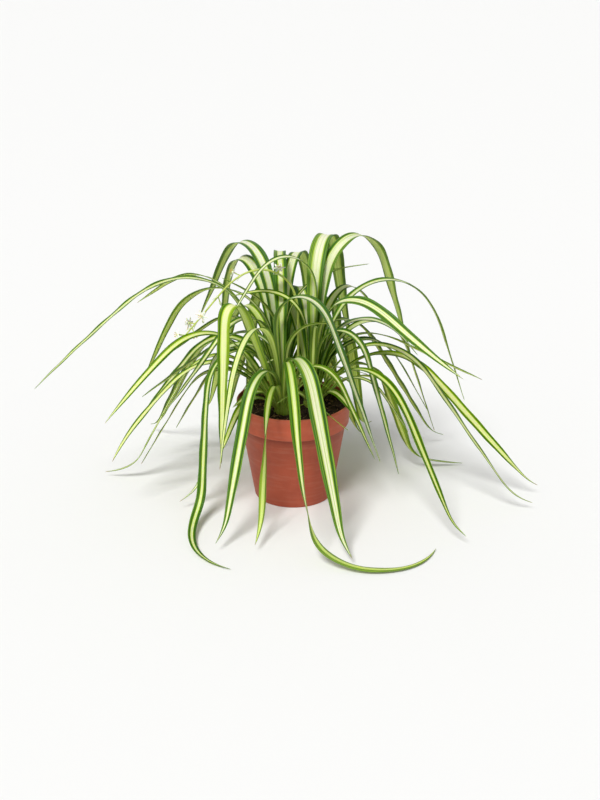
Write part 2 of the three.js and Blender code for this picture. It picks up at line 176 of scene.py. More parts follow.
# Each row: crown, bearing, rise, length, width, fall, share where the arch begins and ends,
# swing of the bearing and roll
SHOWN_LEAVES = [
    ("front", -122, 76, 252, 14, -68, 0.04, 0.46, 0, 0),
    ("front", -88, 70, 428, 13, -72, 0.05, 0.38, 165, 180),
    ("front", -69, 81, 292, 18, -64, 0.06, 0.44, 0, 0),
    ("front", -36, 70, 185, 11, -62, 0.12, 0.60, 10, 0),
    ("front", -27, 95, 325, 17, -68, 0.21, 0.54, 0, 0),
    ("front", -184, 58, 240, 14, -45, 0.05, 0.60, 60, 0),
    ("front", -173, 80, 288, 13, -84, 0.08, 0.52, 20, 0),
    ("front", -147, 52, 104, 12, -60, 0.05, 0.70, 10, 0),
    ("front", -106, 64, 225, 11, -74, 0.05, 0.45, 0, 150),
    ("front", -158, 72, 392, 12, -84, 0.08, 0.38, 140, 0),
    ("front", -136, 66, 315, 18, -86, 0.40, 0.52, 0, 0),
    ("right", 182, 80, 115, 10, -50, 0.10, 0.80, 10, 0),
    ("right", -32, 84, 262, 13, -72, 0.15, 0.52, 0, 0),
    ("right", 6, 71, 205, 13, -60, 0.10, 0.70, 0, 0),
    ("right", -20, 53, 138, 8, -55, 0.10, 0.70, 0, 0),
    ("right", -44, 56, 288, 13, -60, 0.05, 0.55, 0, 0),
    ("right", -20, 65, 345, 15, -54, 0.05, 0.50, 16, 0),
    ("right", -10, 56, 325, 12, -48, 0.05, 0.50, 10, 60),
    ("right", 45, 83, 380, 19, -70, 0.25, 0.70, -30, 0),
    ("right", 74, 86, 370, 19, -70, 0.25, 0.70, -30, 0),
    ("right", -4, 78, 180, 15, -48, 0.20, 0.90, -10, 0),
    ("right", 16, 78, 345, 14, -70, 0.12, 0.75, -16, 0),
    ("right", 190, 92, 265, 13, -56, 0.38, 0.80, 10, 0),
]

# Bounds of the leaves drawn at random: counts and reach for the front, right and back crowns,
# then the sheathed length and the bounds of rise, length, width, fall and the two ends of the arch
TIERS = [
    ((3, 3, 10), (55, 75, 110), 25, (50, 68), (220, 340), (12, 17), (-80, -50), (0.03, 0.1), (0.42, 0.6)),
    ((4, 5, 10), (75, 80, 120), 25, (70, 84), (240, 380), (12, 18), (-80, -30), (0.1, 0.22), (0.55, 0.8)),
    ((3, 4, 5), (180, 180, 180), 25, (78, 90), (120, 240), (7, 11), (-30, 30), (0.2, 0.4), (0.9, 1.1)),
    ((4, 4, 5), (180, 180, 180), 25, (35, 65), (60, 130), (6, 9), (-50, 10), (0.1, 0.2), (0.7, 1)),
    ((5, 5, 6), (100, 110, 180), 55, (58, 86), (150, 290), (9, 14), (-75, -25), (0.06, 0.25), (0.5, 0.9)),
]
BEARING_PLAY = 1.6
BEARING_BACK = 0.3
SWEEP_MOST = 30
ROLL_MOST = 50
SEED = 41
TRIES = 200

# Feelers, which find out whether a leaf has a clear way: where they lie across a blade, how many lie in
# the neck, and how far they keep from other leaves, less along a shared crown's first stretch, and the pot
FEELER_SHARES = (-0.85, 0, 0.85)
FEELERS_IN_NECK = 10
CLEAR = 4.6
CLEAR_NEAR_CROWN = 3
SPREAD_LENGTH = 90
POT_CLEAR = 2

# Blades: the places of their columns as shares of the half width, from one edge to the other
COLUMNS = np.array([-1, -0.92, -0.78, -0.6, -0.4, -0.2, 0, 0.2, 0.4, 0.6, 0.78, 0.92, 1])
BLADE_SIDES = 2 * len(COLUMNS) - 2
FOLD_SOFTNESS = 0.22
EDGE_THINNING = 0.55
LEAST_HALF_WIDTH = 0.15
WAVE_LENGTHS = (34, 60)
WAVE_FULL_WIDTH = 16
COURSE_PASSES = 5

# Steep and broad leaves are bluer and greyer: partly a waxy tint and partly painted sheen
STEEP_RISES = (58, 82)
BROAD_WIDTHS = (8, 15)
WAX_AND_SHEEN_SHARES = (0.3, 0.9)

# How far a leaf may end from the one in the solids
LEAF_SLACK = 4

# Flower stalk, as a row like a leaf's. Blooms and buds are given as a share of its length and a turn
STALK = ("stalk", 190, 90, 290, 0, -48, 0.34, 0.8, 0, 0)
STALK_FOOT = (6, 13, SOIL_TOP - 12)
STALK_RADIUS = 1.5
STALK_TIP_SHARE = 0.5
SIDE_STEM_LENGTH = 7
SIDE_STEM_RADIUS = 0.7
SIDE_STEM_LEAN = 0.6
SIDE_STEM_SIDES = 8
SIDE_STEM_ROWS = 8
SIDE_STEM_WAIST = 0.75
SIDE_STEM_WAIST_AT = 0.45
SIDE_STEM_FLARE = 0.6
BLOOMS = [(0.56, 60), (0.7, 115), (0.87, 20), (0.92, 150), (0.955, -60), (0.99, 80)]
BUDS = [(0.62, 200), (0.8, 260), (0.9, 240), (0.975, 10)]
BUD_RADIUS = 1.3
BUD_LENGTH = 4 * BUD_RADIUS
BUD_SIDES = 12
BUD_ROWS = 12
BUD_SPAN = (0.02, 0.98)
BUD_FULLNESS = 0.7
BUD_TAPER = 0.25
BUD_LOBE = 0.08
BUD_TONES = (0.2, 0.9)
UPPER_STALK = 0.9

# Bracts: the steps of the stalk's course where the lowest two stand, and how each is turned
LOW_BRACTS = {18, 27}
BRACT_TURN = 2.4
BRACT_LENGTH = 7

# Blooms: a petal's shares of width and its arc in millimetres, at shares of its length
PETALS = 6
PETAL_SEED = 500
PETAL_STEPS = 14
PETAL_LENGTH = 7.5
PETAL_HALF_WIDTH = 1.5
PETAL_FOLD = 0.22
PETAL_SPAN = (0.05, 1)
PETAL_WIDTHS = ([0, 0.05, 0.4, 0.75, 1], [0.5, 0.6, 1, 0.8, 0])
PETAL_ARC = ([0, 0.4, 0.75, 1], [0, 0.5, 0.3, 0])
ARC_SHARES = (0.8, 1.4)
LENGTH_SHARES = (0.94, 1.0)
NARROW_PETAL = 0.85
LEAST_WIDTH_SHARE = 0.02
BLOOM_CORE = 1.5
CORE_SIDES = 12
CORE_ROWS = 10
CORE_SPAN = (0.04, 0.96)
CORE_WIDTH = 0.8
CORE_FULLNESS = 0.8
CORE_HEIGHTS = (-1, 0.9)
CORE_TOP = 0.95
ANTHER_SEED = 900
ANTHER_SIZE = np.array([0.42, 0.42, 0.8])
ANTHER_OUT = 2.3
ANTHER_UP = 2.4
FILAMENT_OUT = (0.4, 2.3)
FILAMENT_UP = (0.5, 2.3)
FILAMENT_RADIUS = 0.16
FILAMENT_STEPS = 5
FILAMENT_SIDES = 5

# Stage, in metres
CAMERA_PLACE = (-0.0646, -1.0447, 0.5279)
CAMERA_AIM = (0.006, -0.015, 0.112)
SENSOR_WIDTH = 36
KEY_DIRECTION = (0.5, 0.85, -1.3)
CEILING_FROM = 0.6

# Factor, step and cycle of the whole numbers that the random draws come from
DRAW_RULE = (1664525, 1013904223, 4294967296)


# Growth rules, the same as those that the solids follow


def clipped(x):
    return min(1.0, max(0.0, x))


def smooth(x):
    t = clipped(x)
    return t * t * (3 - 2 * t)


def between(bounds, share):
    low, high = bounds
    return low + (high - low) * share


def part_way(bounds, value):
    """Share of the way from the first bound to the second at which a value lies."""
    low, high = bounds
    return (value - low) / (high - low)


def draws_from(seed):
    """Even draws between 0 and 1 from a whole-number seed."""
    factor, step, cycle = DRAW_RULE
    state = seed

    def draw():
        nonlocal state
        state = (state * factor + step) % cycle
        return state / cycle

    return draw


def width_share(u):
    full = between((BASE_SHARE, 1), smooth(u / WIDEST_AT))
    ebb = max(0.0, part_way((WIDEST_AT, 1), u))
    return full * (1 - ebb**TIP_TAPER)


def foot_of(crown, bearing, rise):
    x, y, _ = CROWNS[crown]
    inward = clipped(part_way(FOOT_RISES, rise))
    out = between(FOOT_OUT, inward)
    turn = math.radians(bearing)
    return (x + out * math.cos(turn), y + out * math.sin(turn), SOIL_TOP + between(FOOT_UP, inward))


class Growth:
    """A leaf or stalk as it runs from its foot to its tip."""

    def __init__(
        self, crown, bearing, rise, length, width, fall, arch_from, arch_to, sweep, roll,
        foot=None, sheath=SHEATH_LENGTH,
    ):
        self.crown = crown
        self.rise = rise
        self.length = length
        self.width = width
        self.sheath = sheath
        x, y, z = foot or foot_of(crown, bearing, rise)
        step = length / COURSE_STEPS
        flat_roll = 180 if roll > 90 else 0
        rows = []
        for k in range(COURSE_STEPS + 1):
            u = k / COURSE_STEPS
            arch = smooth(part_way((arch_from, arch_to), u))
            slope = math.radians(between((rise, fall), arch))
            turn = math.radians(bearing + sweep * u**3)
            climb = max(math.sin(slope), -(z - FLOOR_LINE) / LANDING)
            ahead = math.sqrt(1 - climb * climb) * (-1 if math.cos(slope) < 0 else 1)
            c, s = math.cos(turn), math.sin(turn)
            along = (ahead * c, ahead * s, climb)
            above = (-climb * c, -climb * s, ahead)
            lift = clipped((z - FLOOR_LINE) / ROLL_LIFT)
            twist = roll * smooth((u - ROLL_FROM) / ROLL_SPAN)
            flat = flat_roll * smooth((u - ROLL_FROM) / FLAT_ROLL_SPAN)
            angle = math.radians(flat * (1 - lift) + twist * lift)
            cr, sr = math.cos(angle), math.sin(angle)
            side = (-s * cr + above[0] * sr, c * cr + above[1] * sr, above[2] * sr)
            up = (above[0] * cr + s * sr, above[1] * cr - c * sr, above[2] * cr)
            fold = math.radians(between((FOLD_OUT, FOLD_AT_BASE), 1 - smooth(u / FOLD_SPAN)))
            rows.append((x, y, z, *along, *side, *up, width / 2 * width_share(u), fold))
            x, y, z = x + along[0] * step, y + along[1] * step, z + along[2] * step
        table = np.array(rows)
        self.place, self.along, self.side, self.up = (table[:, i : i + 3] for i in range(0, 12, 3))
        self.half, self.fold = table[:, 12], table[:, 13]
        shares = np.array(FEELER_SHARES)[None, :, None]
        feelers = self.place[:, None] + self.side[:, None] * self.half[:, None, None] * shares
        self.set_feelers(feelers.reshape(-1, 3))

    def set_feelers(self, feelers):
        self.feelers = feelers
        self.low = feelers.min(0) - CLEAR / 2
        self.high = feelers.max(0) + CLEAR / 2

    def feeler_at(self, distance):
        return len(FEELER_SHARES) * math.ceil(distance / self.length * COURSE_STEPS)


def meets_pot(leaf):
    points = leaf.feelers[FEELERS_IN_NECK:]
    out = np.hypot(points[:, 0], points[:, 1])
    height = points[:, 2]
    over_soil = (out < RIM_FOOT_RADIUS - POT_WALL - POT_CLEAR) & (height > SOIL_TOP + POT_CLEAR)
    near = (height < POT_HEIGHT + POT_CLEAR) & (out < RIM_RADIUS + POT_CLEAR)
    return bool((near & ~over_soil).any())


def meet(one, other):
    """True if two leaves come too near each other, past the sheathed stretch if they share a crown."""
    shared = one.crown == other.crown
    first = max(one.sheath, other.sheath) if shared else 0
    spread = SPREAD_LENGTH if shared else 0
    i, j = one.feeler_at(first), other.feeler_at(first)
    a, b = one.feelers[i:], other.feelers[j:]
    apart = (a * a).sum(1)[:, None] + (b * b).sum(1)[None] - 2 * (a @ b.T)
    if not (apart < CLEAR * CLEAR).any():
        return False
    open_a = np.arange(i, len(one.feelers)) >= one.feeler_at(spread)
    open_b = np.arange(j, len(other.feelers)) >= other.feeler_at(spread)
    limit = np.where(open_a[:, None] & open_b[None], CLEAR, CLEAR_NEAR_CROWN)
    return bool((apart < limit * limit).any())


def meets_any(leaf, blockers):
    lows = np.array([other.low for other in blockers])
    highs = np.array([other.high for other in blockers])
    near = ((leaf.high >= lows) & (highs >= leaf.low)).all(1)
    return any(meet(leaf, blockers[i]) for i in np.flatnonzero(near))


def step_at(share):
    """Whole step of a course that lies nearest to a share of its length."""
    return math.floor(share * COURSE_STEPS + 0.5)


def side_stem(stalk, spot):
    """Foot and direction of a side stem."""
    share, turn = spot
    k = step_at(share)
    angle = math.radians(turn)
    away = stalk.side[k] * math.cos(angle) + stalk.up[k] * math.sin(angle) + stalk.along[k] * SIDE_STEM_LEAN
    return stalk.place[k], away / np.linalg.norm(away)


def bloom_place(stalk, spot):
    foot, away = side_stem(stalk, spot)
    return foot + away * (SIDE_STEM_LENGTH + BLOOM_CORE + FIT), away


@lru_cache(maxsize=1)
def grow_stalk():
    stalk = Growth(*STALK, foot=STALK_FOOT)
    corners = np.array([(x, y, z) for z in (-1, 1) for y in (-1, 1) for x in (-1, 1)])
    tufts = [bloom_place(stalk, spot)[0] + corners * PETAL_LENGTH / 2 for spot in BLOOMS + BUDS]
    stalk.set_feelers(np.vstack([stalk.place, *tufts]))
    return stalk


@lru_cache(maxsize=1)
def grow_leaves():
    """The listed leaves, and then as many as each tier asks for that find a clear way."""
    blockers = [grow_stalk(), *(Growth(*row) for row in SHOWN_LEAVES)]
    draw = draws_from(SEED)
    for counts, reaches, sheath, *ranges in TIERS:
        for (crown, (_, _, outward)), count, reach in zip(CROWNS.items(), counts, reaches):
            for i in range(count):
                for _ in range(TRIES):
                    share = (i + BEARING_PLAY * draw() - BEARING_BACK) / count
                    bearing = outward + reach * (2 * share - 1)
                    drawn = [between(bounds, draw()) for bounds in ranges]
                    sweep = SWEEP_MOST * (2 * draw() - 1)
                    roll = ROLL_MOST * (2 * draw() - 1)
                    leaf = Growth(crown, bearing, *drawn, sweep, roll, sheath=sheath)
                    if not meets_pot(leaf) and not meets_any(leaf, blockers):
                        blockers.append(leaf)
                        break
    return blockers[1:]


# Meshes


def link(name, data):
    made = bpy.data.objects.new(name, data)
    bpy.context.scene.collection.objects.link(made)
    return made


def link_mesh(name, points, faces, values=None):
    """Object with a smooth mesh. Points are in millimetres; values holds a number for each point."""
    mesh = bpy.data.meshes.new(name)
    mesh.from_pydata((np.asarray(points) * MM).tolist(), [], faces)
    for key, numbers in (values or {}).items():
        field = mesh.attributes.new(key, "FLOAT", "POINT").data
        field.foreach_set("value", np.asarray(numbers, np.float32))
    if mesh.validate():
        raise RuntimeError(f"the mesh of {name} has faults")
    mesh.shade_smooth()
    return link(name, mesh)


class Body:
    """Gathers shells into one mesh, with a number for each point and key."""

    def __init__(self, *keys):
        self.points = []
        self.faces = []
        self.count = 0
        self.values = {key: [] for key in keys}

    def add(self, points, faces, **values):
        self.points.append(points)
        self.faces.extend(tuple(i + self.count for i in face) for face in faces)
        self.count += len(points)
        for key, numbers in self.values.items():
            numbers.append(np.broadcast_to(np.asarray(values.get(key, 0.0), float), (len(points),)))

    def build(self, name):
        values = {key: np.concatenate(numbers) for key, numbers in self.values.items()}
        return link_mesh(name, np.vstack(self.points), self.faces, values)


def unit(rows):
    return rows / np.linalg.norm(rows, axis=1)[:, None]


def turns(sides):
    return np.arange(sides) * 2 * math.pi / sides


def by_row(numbers, sides, tip):
    """A number for each point of rings that have a tip: the same all round a ring."""
    return np.append(np.repeat(numbers, sides), tip)


def by_side(numbers, rows, tip):
    """A number for each point of rings that have a tip: the same along a side."""
    return np.append(np.tile(numbers, rows), tip)


def band_faces(rows, sides):
    faces = []
    for r in range(rows - 1):
        for c in range(sides):
            a, b = r * sides + c, r * sides + (c + 1) % sides
            faces.append((a, b, b + sides, a + sides))
    return faces


def skin_faces(rows, sides):
    """Faces over rings of points, with a flat foot and a tip point."""
    end = (rows - 1) * sides
    foot = tuple(range(sides - 1, -1, -1))
    tip = [(end + c, end + (c + 1) % sides, rows * sides) for c in range(sides)]
    return [foot, *band_faces(rows, sides), *tip]


def tube(centres, level, up, radii, sides):
    """Round skin along a course, with a tip."""
    angles = turns(sides)
    ring = np.cos(angles)[None, :, None] * level[:, None] + np.sin(angles)[None, :, None] * up[:, None]
    points = centres[:, None] + ring * np.asarray(radii)[:, None, None]
    tip = centres[-1] + np.cross(level[-1], up[-1]) * radii[-1]
    return np.vstack([points.reshape(-1, 3), tip]), skin_faces(len(centres), sides)


def stacked(radii, heights, tip, sides, lobes=1.0):
    """Rings round the Y axis, one for each radius and height, with a tip."""
    angles = turns(sides)
    ring = np.stack([np.sin(angles) * lobes, np.zeros(sides), np.cos(angles) * lobes], 1)
    points = ring[None] * radii[:, None, None] + np.array([0, 1, 0]) * heights[:, None, None]
    return np.vstack([points.reshape(-1, 3), (0, tip, 0)]), skin_faces(len(radii), sides)


def placed_along(points, place, direction):
    """Points made round the Y axis, turned to a direction and moved to a place."""
    turn = Vector((0, 1, 0)).rotation_difference(Vector(direction)).to_matrix()
    return points @ np.array(turn).T + place


def turned(profile, sides):
    """Points and faces of a closed shape turned about Z, from a profile whose ends lie on the axis."""
    inner = profile[1:-1]
    angles = turns(sides)
    points = [(r * math.cos(a), r * math.sin(a), z) for r, z in inner for a in angles]
    faces = band_faces(len(inner), sides)
    foot, top = len(points), len(points) + 1
    last = foot - sides
    for c in range(sides):
        beside = (c + 1) % sides
        faces.append((foot, beside, c))
        faces.append((top, last + c, last + beside))
    points += [(0, 0, profile[0][1]), (0, 0, profile[-1][1])]
    return np.array(points, float), faces


def rounded(profile, radius):
    """Profile with each inner corner cut into a short round of at most this radius."""
    corners = [np.array(corner, float) for corner in profile]
    outline = [profile[0]]
    for before, at, after in zip(corners, corners[1:], corners[2:]):
        back, ahead = before - at, after - at
        long_back, long_ahead = np.linalg.norm(back), np.linalg.norm(ahead)
        reach = min(radius, CORNER_SHARE * long_back, CORNER_SHARE * long_ahead)
        start = at + back / long_back * reach
        end = at + ahead / long_ahead * reach
        for t in CORNER_STOPS:
            outline.append(tuple((1 - t) ** 2 * start + 2 * t * (1 - t) * at + t * t * end))
    outline.append(profile[-1])
    return outline


def blade_section(share):
    """Rise of a softly folded blade at a share of its half width: round in the middle, straight outside."""
    soft = FOLD_SOFTNESS
    return (np.sqrt(share**2 + soft**2) - soft) / (math.sqrt(1 + soft**2) - soft)


def blade(place, side, up, half, fold, thickness, tip, ripple=0.0):
    """Closed blade over rows of stops, with a tip. Ripple holds the lift of each edge for each row.

    Side, up and fold are given for each stop, or once for all of them.
    """
    rows = len(place)
    side, up = np.broadcast_to(side, (rows, 3)), np.broadcast_to(up, (rows, 3))
    fold, ripple = np.broadcast_to(fold, rows), np.broadcast_to(ripple, (rows, 2))
    upper = COLUMNS[::-1]
    lower = COLUMNS[1:-1]
    shares = np.concatenate([upper, lower])
    faces_up = np.concatenate([np.ones(len(upper)), np.zeros(len(lower))])
    faces_up[[0, len(upper) - 1]] = 0.5
    skin = (faces_up - 0.5) * thickness * (1 - EDGE_THINNING * shares**2)
    out = half[:, None] * np.cos(fold)[:, None] * shares[None]
    raised = half[:, None] * np.sin(fold)[:, None] * blade_section(shares)[None] + skin[None]
    edge = np.where(shares[None] < 0, ripple[:, :1], ripple[:, 1:]) * shares[None] ** 2
    points = place[:, None] + side[:, None] * out[..., None] + up[:, None] * (raised + edge)[..., None]
    points = np.vstack([points.reshape(-1, 3), tip])
    return points, skin_faces(rows, BLADE_SIDES), by_side(shares, rows, 0), by_side(faces_up, rows, 0.5)


def sprout(foot, along, out, steps, length, lean, half_width, taper, folds, thickness, tip):
    """Small pointed blade that clasps what it grows from. Its stops' shares of its length come first.

    Lean says how far out it starts and how much further out it ends. Folds are in radians, at its foot and
    its end, and the tip lies so far along and out from the last stop.
    """
    t = np.arange(steps) / steps
    place = foot + out * (lean[0] + lean[1] * t**2)[:, None] + along * (length * t)[:, None]
    half = half_width * (1 - t**taper)
    end = place[-1] + along * tip[0] + out * tip[1]
    return t, blade(place, np.cross(out, along), -out, half, between(folds, t), thickness, end)


def softened(rows):
    """Rows smoothed along the course, with both ends held."""
    rows = rows.copy()
    for _ in range(COURSE_PASSES):
        rows[1:-1] = (rows[:-2] + 2 * rows[1:-1] + rows[2:]) / 4
    return rows


def finer(rows, spots):
    """Rows read off a smooth curve through the given ones, at spots counted in rows."""
    last = len(rows) - 1
    k = np.minimum(spots.astype(int), last - 1)
    t = (spots - k).reshape(-1, *[1] * (rows.ndim - 1))
    before, start, end, after = (rows[np.clip(k + i, 0, last)] for i in (-1, 0, 1, 2))
    bend = 2 * before - 5 * start + 4 * end - after
    swing = 3 * (start - end) + after - before
    return start + 0.5 * t * (end - before + t * (bend + t * swing))


def edge_wave(distance, draw):
    """Wave along one edge of a leaf, from -1 to 1."""
    return np.sin(2 * math.pi * (distance / between(WAVE_LENGTHS, draw()) + draw()))


def add_leaf(body, leaf, settings, draw):
    count = COURSE_STEPS * (2 if leaf.length > settings.long_leaf / MM else 1)
    spots = np.linspace(0, COURSE_STEPS, count + 1)
    place = finer(softened(leaf.place), spots)
    side = finer(softened(leaf.side), spots)
    ahead = unit(np.gradient(place, axis=0))
    side = unit(side - ahead * (side * ahead).sum(1)[:, None])
    up = np.cross(ahead, side)
    u = spots[:-1] / COURSE_STEPS
    wave = settings.edge_wave / MM * leaf.width / WAVE_FULL_WIDTH * np.sin(math.pi * u) ** 0.5
    ripple = np.stack([wave * edge_wave(u * leaf.length, draw) for _ in range(2)], axis=1)
    half = np.maximum(finer(leaf.half, spots)[:-1], LEAST_HALF_WIDTH)
    fold = finer(leaf.fold, spots)[:-1]
    points, faces, across, face = blade(
        place[:-1], side[:-1], up[:-1], half, fold, settings.thickness / MM, place[-1], ripple
    )
    tone = draw()
    steep = smooth(part_way(STEEP_RISES, leaf.rise))
    broad = smooth(part_way(BROAD_WIDTHS, leaf.width))
    body.add(
        points,
        faces,
        across=across,
        along=by_row(u, BLADE_SIDES, 1),
        face=face,
        tone=tone,
        reach=leaf.length * MM,
        # Bluer grey-green of steep broad leaves: partly a waxy tint, partly painted sheen
        cool=steep * broad * between(WAX_AND_SHEEN_SHARES, draw()),
    )


def add_neck(body, crown, draw):
    """Sheathed leaf bases: a fluted core with pointed scales wrapped round it."""
    x, y, _ = CROWNS[crown]
    heights = np.linspace(NECK_PROFILE[0][1], NECK_PROFILE[-1][1], NECK_ROWS)
    radii = np.interp(heights, [h for _, h in NECK_PROFILE], [r for r, _ in NECK_PROFILE])
    angles = turns(NECK_SIDES)
    folds = np.abs(np.sin(FLUTES * angles[None] + heights[:, None] * FLUTE_TWIST))
    ring = radii[:, None] * (1 + FLUTE_DEPTH * folds - FLUTE_SINK)
    levels = np.repeat(SOIL_TOP + heights[:, None], NECK_SIDES, 1)
    points = np.stack([x + ring * np.cos(angles), y + ring * np.sin(angles), levels], axis=-1)
    top = (x, y, SOIL_TOP + heights[-1] + 1)
    body.add(
        np.vstack([points.reshape(-1, 3), top]),
        skin_faces(NECK_ROWS, NECK_SIDES),
        across=by_side(np.sin(FLUTES * angles) * FLUTE_STRIPES, NECK_ROWS, 0),
        tone=draw(),
        **NECK_MARKS,
    )
    for i in range(SCALES):
        add_scale(body, x, y, 2 * math.pi * (i + SCALE_TURN_PLAY * draw()) / SCALES, draw)


def add_scale(body, x, y, turn, draw):
    """Short pointed scale leaf that clasps the neck."""
    tall = between(SCALE_HEIGHTS, draw())
    t, (points, faces, across, face) = sprout(
        foot=np.array([x, y, SOIL_TOP - SCALE_DEPTH]),
        along=np.array([0, 0, 1.0]),
        out=np.array([math.cos(turn), math.sin(turn), 0.0]),
        steps=SCALE_STEPS,
        length=tall,
        lean=(SCALE_OUT, between(SCALE_LEANS, draw())),
        half_width=between(SCALE_HALF_WIDTHS, draw()),
        taper=3.2,
        folds=(math.radians(42), math.radians(24)),
        thickness=0.6,
        tip=(0.6 * tall / SCALE_STEPS, 0.4),
    )
    along = by_row(between(SCALE_ALONG, t), BLADE_SIDES, 0.14)
    body.add(points, faces, across=across, along=along, face=1 - face, tone=draw(), reach=0.1)


# Materials


def rgba(colour):
    """Colour from a node as it is, and a plain colour with full opacity."""
    return colour if isinstance(colour, bpy.types.NodeSocket) else (*colour, 1.0)


def dimmed(colour, share):
    return tuple(share * part for part in colour)


class Nodes:
    """Adds nodes to a tree and joins them."""

    def __init__(self, tree):
        self.tree = tree

    def put(self, target, value):
        if isinstance(value, bpy.types.NodeSocket):
            self.tree.links.new(value, target)
        else:
            target.default_value = value

    def node(self, kind, inputs=(), **settings):
        made = self.tree.nodes.new(kind)
        for key, value in settings.items():
            setattr(made, key, value)
        for key, value in dict(inputs).items():
            self.put(made.inputs[key], value)
        return made

    def number(self, name):
        return self.node("ShaderNodeAttribute", attribute_name=name).outputs["Fac"]

    def coordinates(self, kind):
        return self.node("ShaderNodeTexCoord").outputs[kind]

    def parts(self, vector):
        return self.node("ShaderNodeSeparateXYZ", {0: vector}).outputs

    def combine(self, x, y, z=0.0):
        return self.node("ShaderNodeCombineXYZ", {0: x, 1: y, 2: z}).outputs[0]

    def math(self, operation, a, b=0.0):
        return self.node("ShaderNodeMath", {0: a, 1: b}, operation=operation).outputs[0]

    def plus(self, a, b):
        return self.math("ADD", a, b)

    def times(self, a, b):
        return self.math("MULTIPLY", a, b)

    def ramp(self, value, low, high, first=0.0, last=1.0):
        """First up to low, last from high, and an even slope between."""
        span = {"From Min": low, "From Max": high, "To Min": first, "To Max": last}
        return self.node("ShaderNodeMapRange", {"Value": value, **span}, clamp=True).outputs["Result"]

    def noise(self, vector, scale=1.0, detail=2.0, rough=0.5):
        inputs = {"Vector": vector, "Scale": scale, "Detail": detail, "Roughness": rough}
        return self.node("ShaderNodeTexNoise", inputs).outputs["Fac"]

    def strands(self, across, along, scales, shift=0.0, **looks):
        """Noise drawn out along a blade or stem."""
        lane = self.combine(self.times(across, scales[0]), self.times(along, scales[1]), shift)
        return self.noise(lane, **looks)

    def mix(self, share, a, b):
        made = self.node("ShaderNodeMix", data_type="RGBA")
        self.put(made.inputs["Factor"], share)
        self.put(made.inputs[6], rgba(a))
        self.put(made.inputs[7], rgba(b))
        return made.outputs[2]

    def coated(self, colour, *coats):
        """Colour with coats laid over it, each given as its share and its colour."""
        for share, coat in coats:
            colour = self.mix(share, colour, coat)
        return colour


class Finish(Nodes):
    """A material made of nodes round one principled shader."""

    def __init__(self, name):
        self.material = bpy.data.materials.new(name)
        self.material.use_nodes = True
        super().__init__(self.material.node_tree)
        self.shader = self.tree.nodes["Principled BSDF"]

    def bump(self, height, strength, depth):
        """Relief whose depth is in millimetres."""
        inputs = {"Height": height, "Strength": strength, "Distance": depth * MM}
        self.put(self.shader.inputs["Normal"], self.node("ShaderNodeBump", inputs).outputs[0])

    def set(self, **values):
        for key, value in values.items():
            self.put(self.shader.inputs[key.replace("_", " ")], value)


# Leaf markings: where each ramp begins and ends, then its first and last value if they aren't 0 and 1
LEAF_KEYS = ("across", "along", "face", "tone", "reach", "cool")
LEAF_SHIFT = 37.0
WANDER_SCALE = 14.0
WANDER_WIDTH = 0.2
STREAK_SCALES = (8.0, 4.0)
THREAD_SCALES = (26.0, 9.0)
STRIPE_EDGE = (-0.06, 0.0)
STRIPE_LINES = (0.56, 0.64, 0.0, 0.75)
STRIPE_THREADS = (0.5, 0.7, 0.0, 0.3)
# Towards the leaf base the stripe and margins turn greener and darker: partly greener base tissue, partly
# painted shade of the crowded crown
BASE_STRIPE_GREEN_AND_SHADE = (0.03, 0.42, 0.6, 0.0)
BASE_MARGIN_GREEN_AND_SHADE = (0.03, 0.42, 0.35, 0.0)
LINE_EDGE = (0.05, 0.13)
DEEP_STREAKS = (0.42, 0.58)
DEEP_LEAVES = (0.3, 1.0, 0.0, 0.4)
MARGIN_LINES = (0.6, 0.65, 0.0, 0.6)
MARGIN_THREADS = (0.52, 0.75, 0.0, 0.22)
UPPER_FACE = (0.3, 0.7)
UNDER_PALE = 0.12
UNDER_THREADS = (0.5, 0.62, 0.0, 0.15)
SHEATH_REACH = (0.002, 0.045, 0.75, 0.0)
SHEATH_THREADS = (0.4, 0.65)
DRY_END = (0.978, 0.995)
DRY_LEAVES = (0.45, 0.6)
LEAF_ROUGHNESS = (0.0, 1.0, 0.5, 0.38)


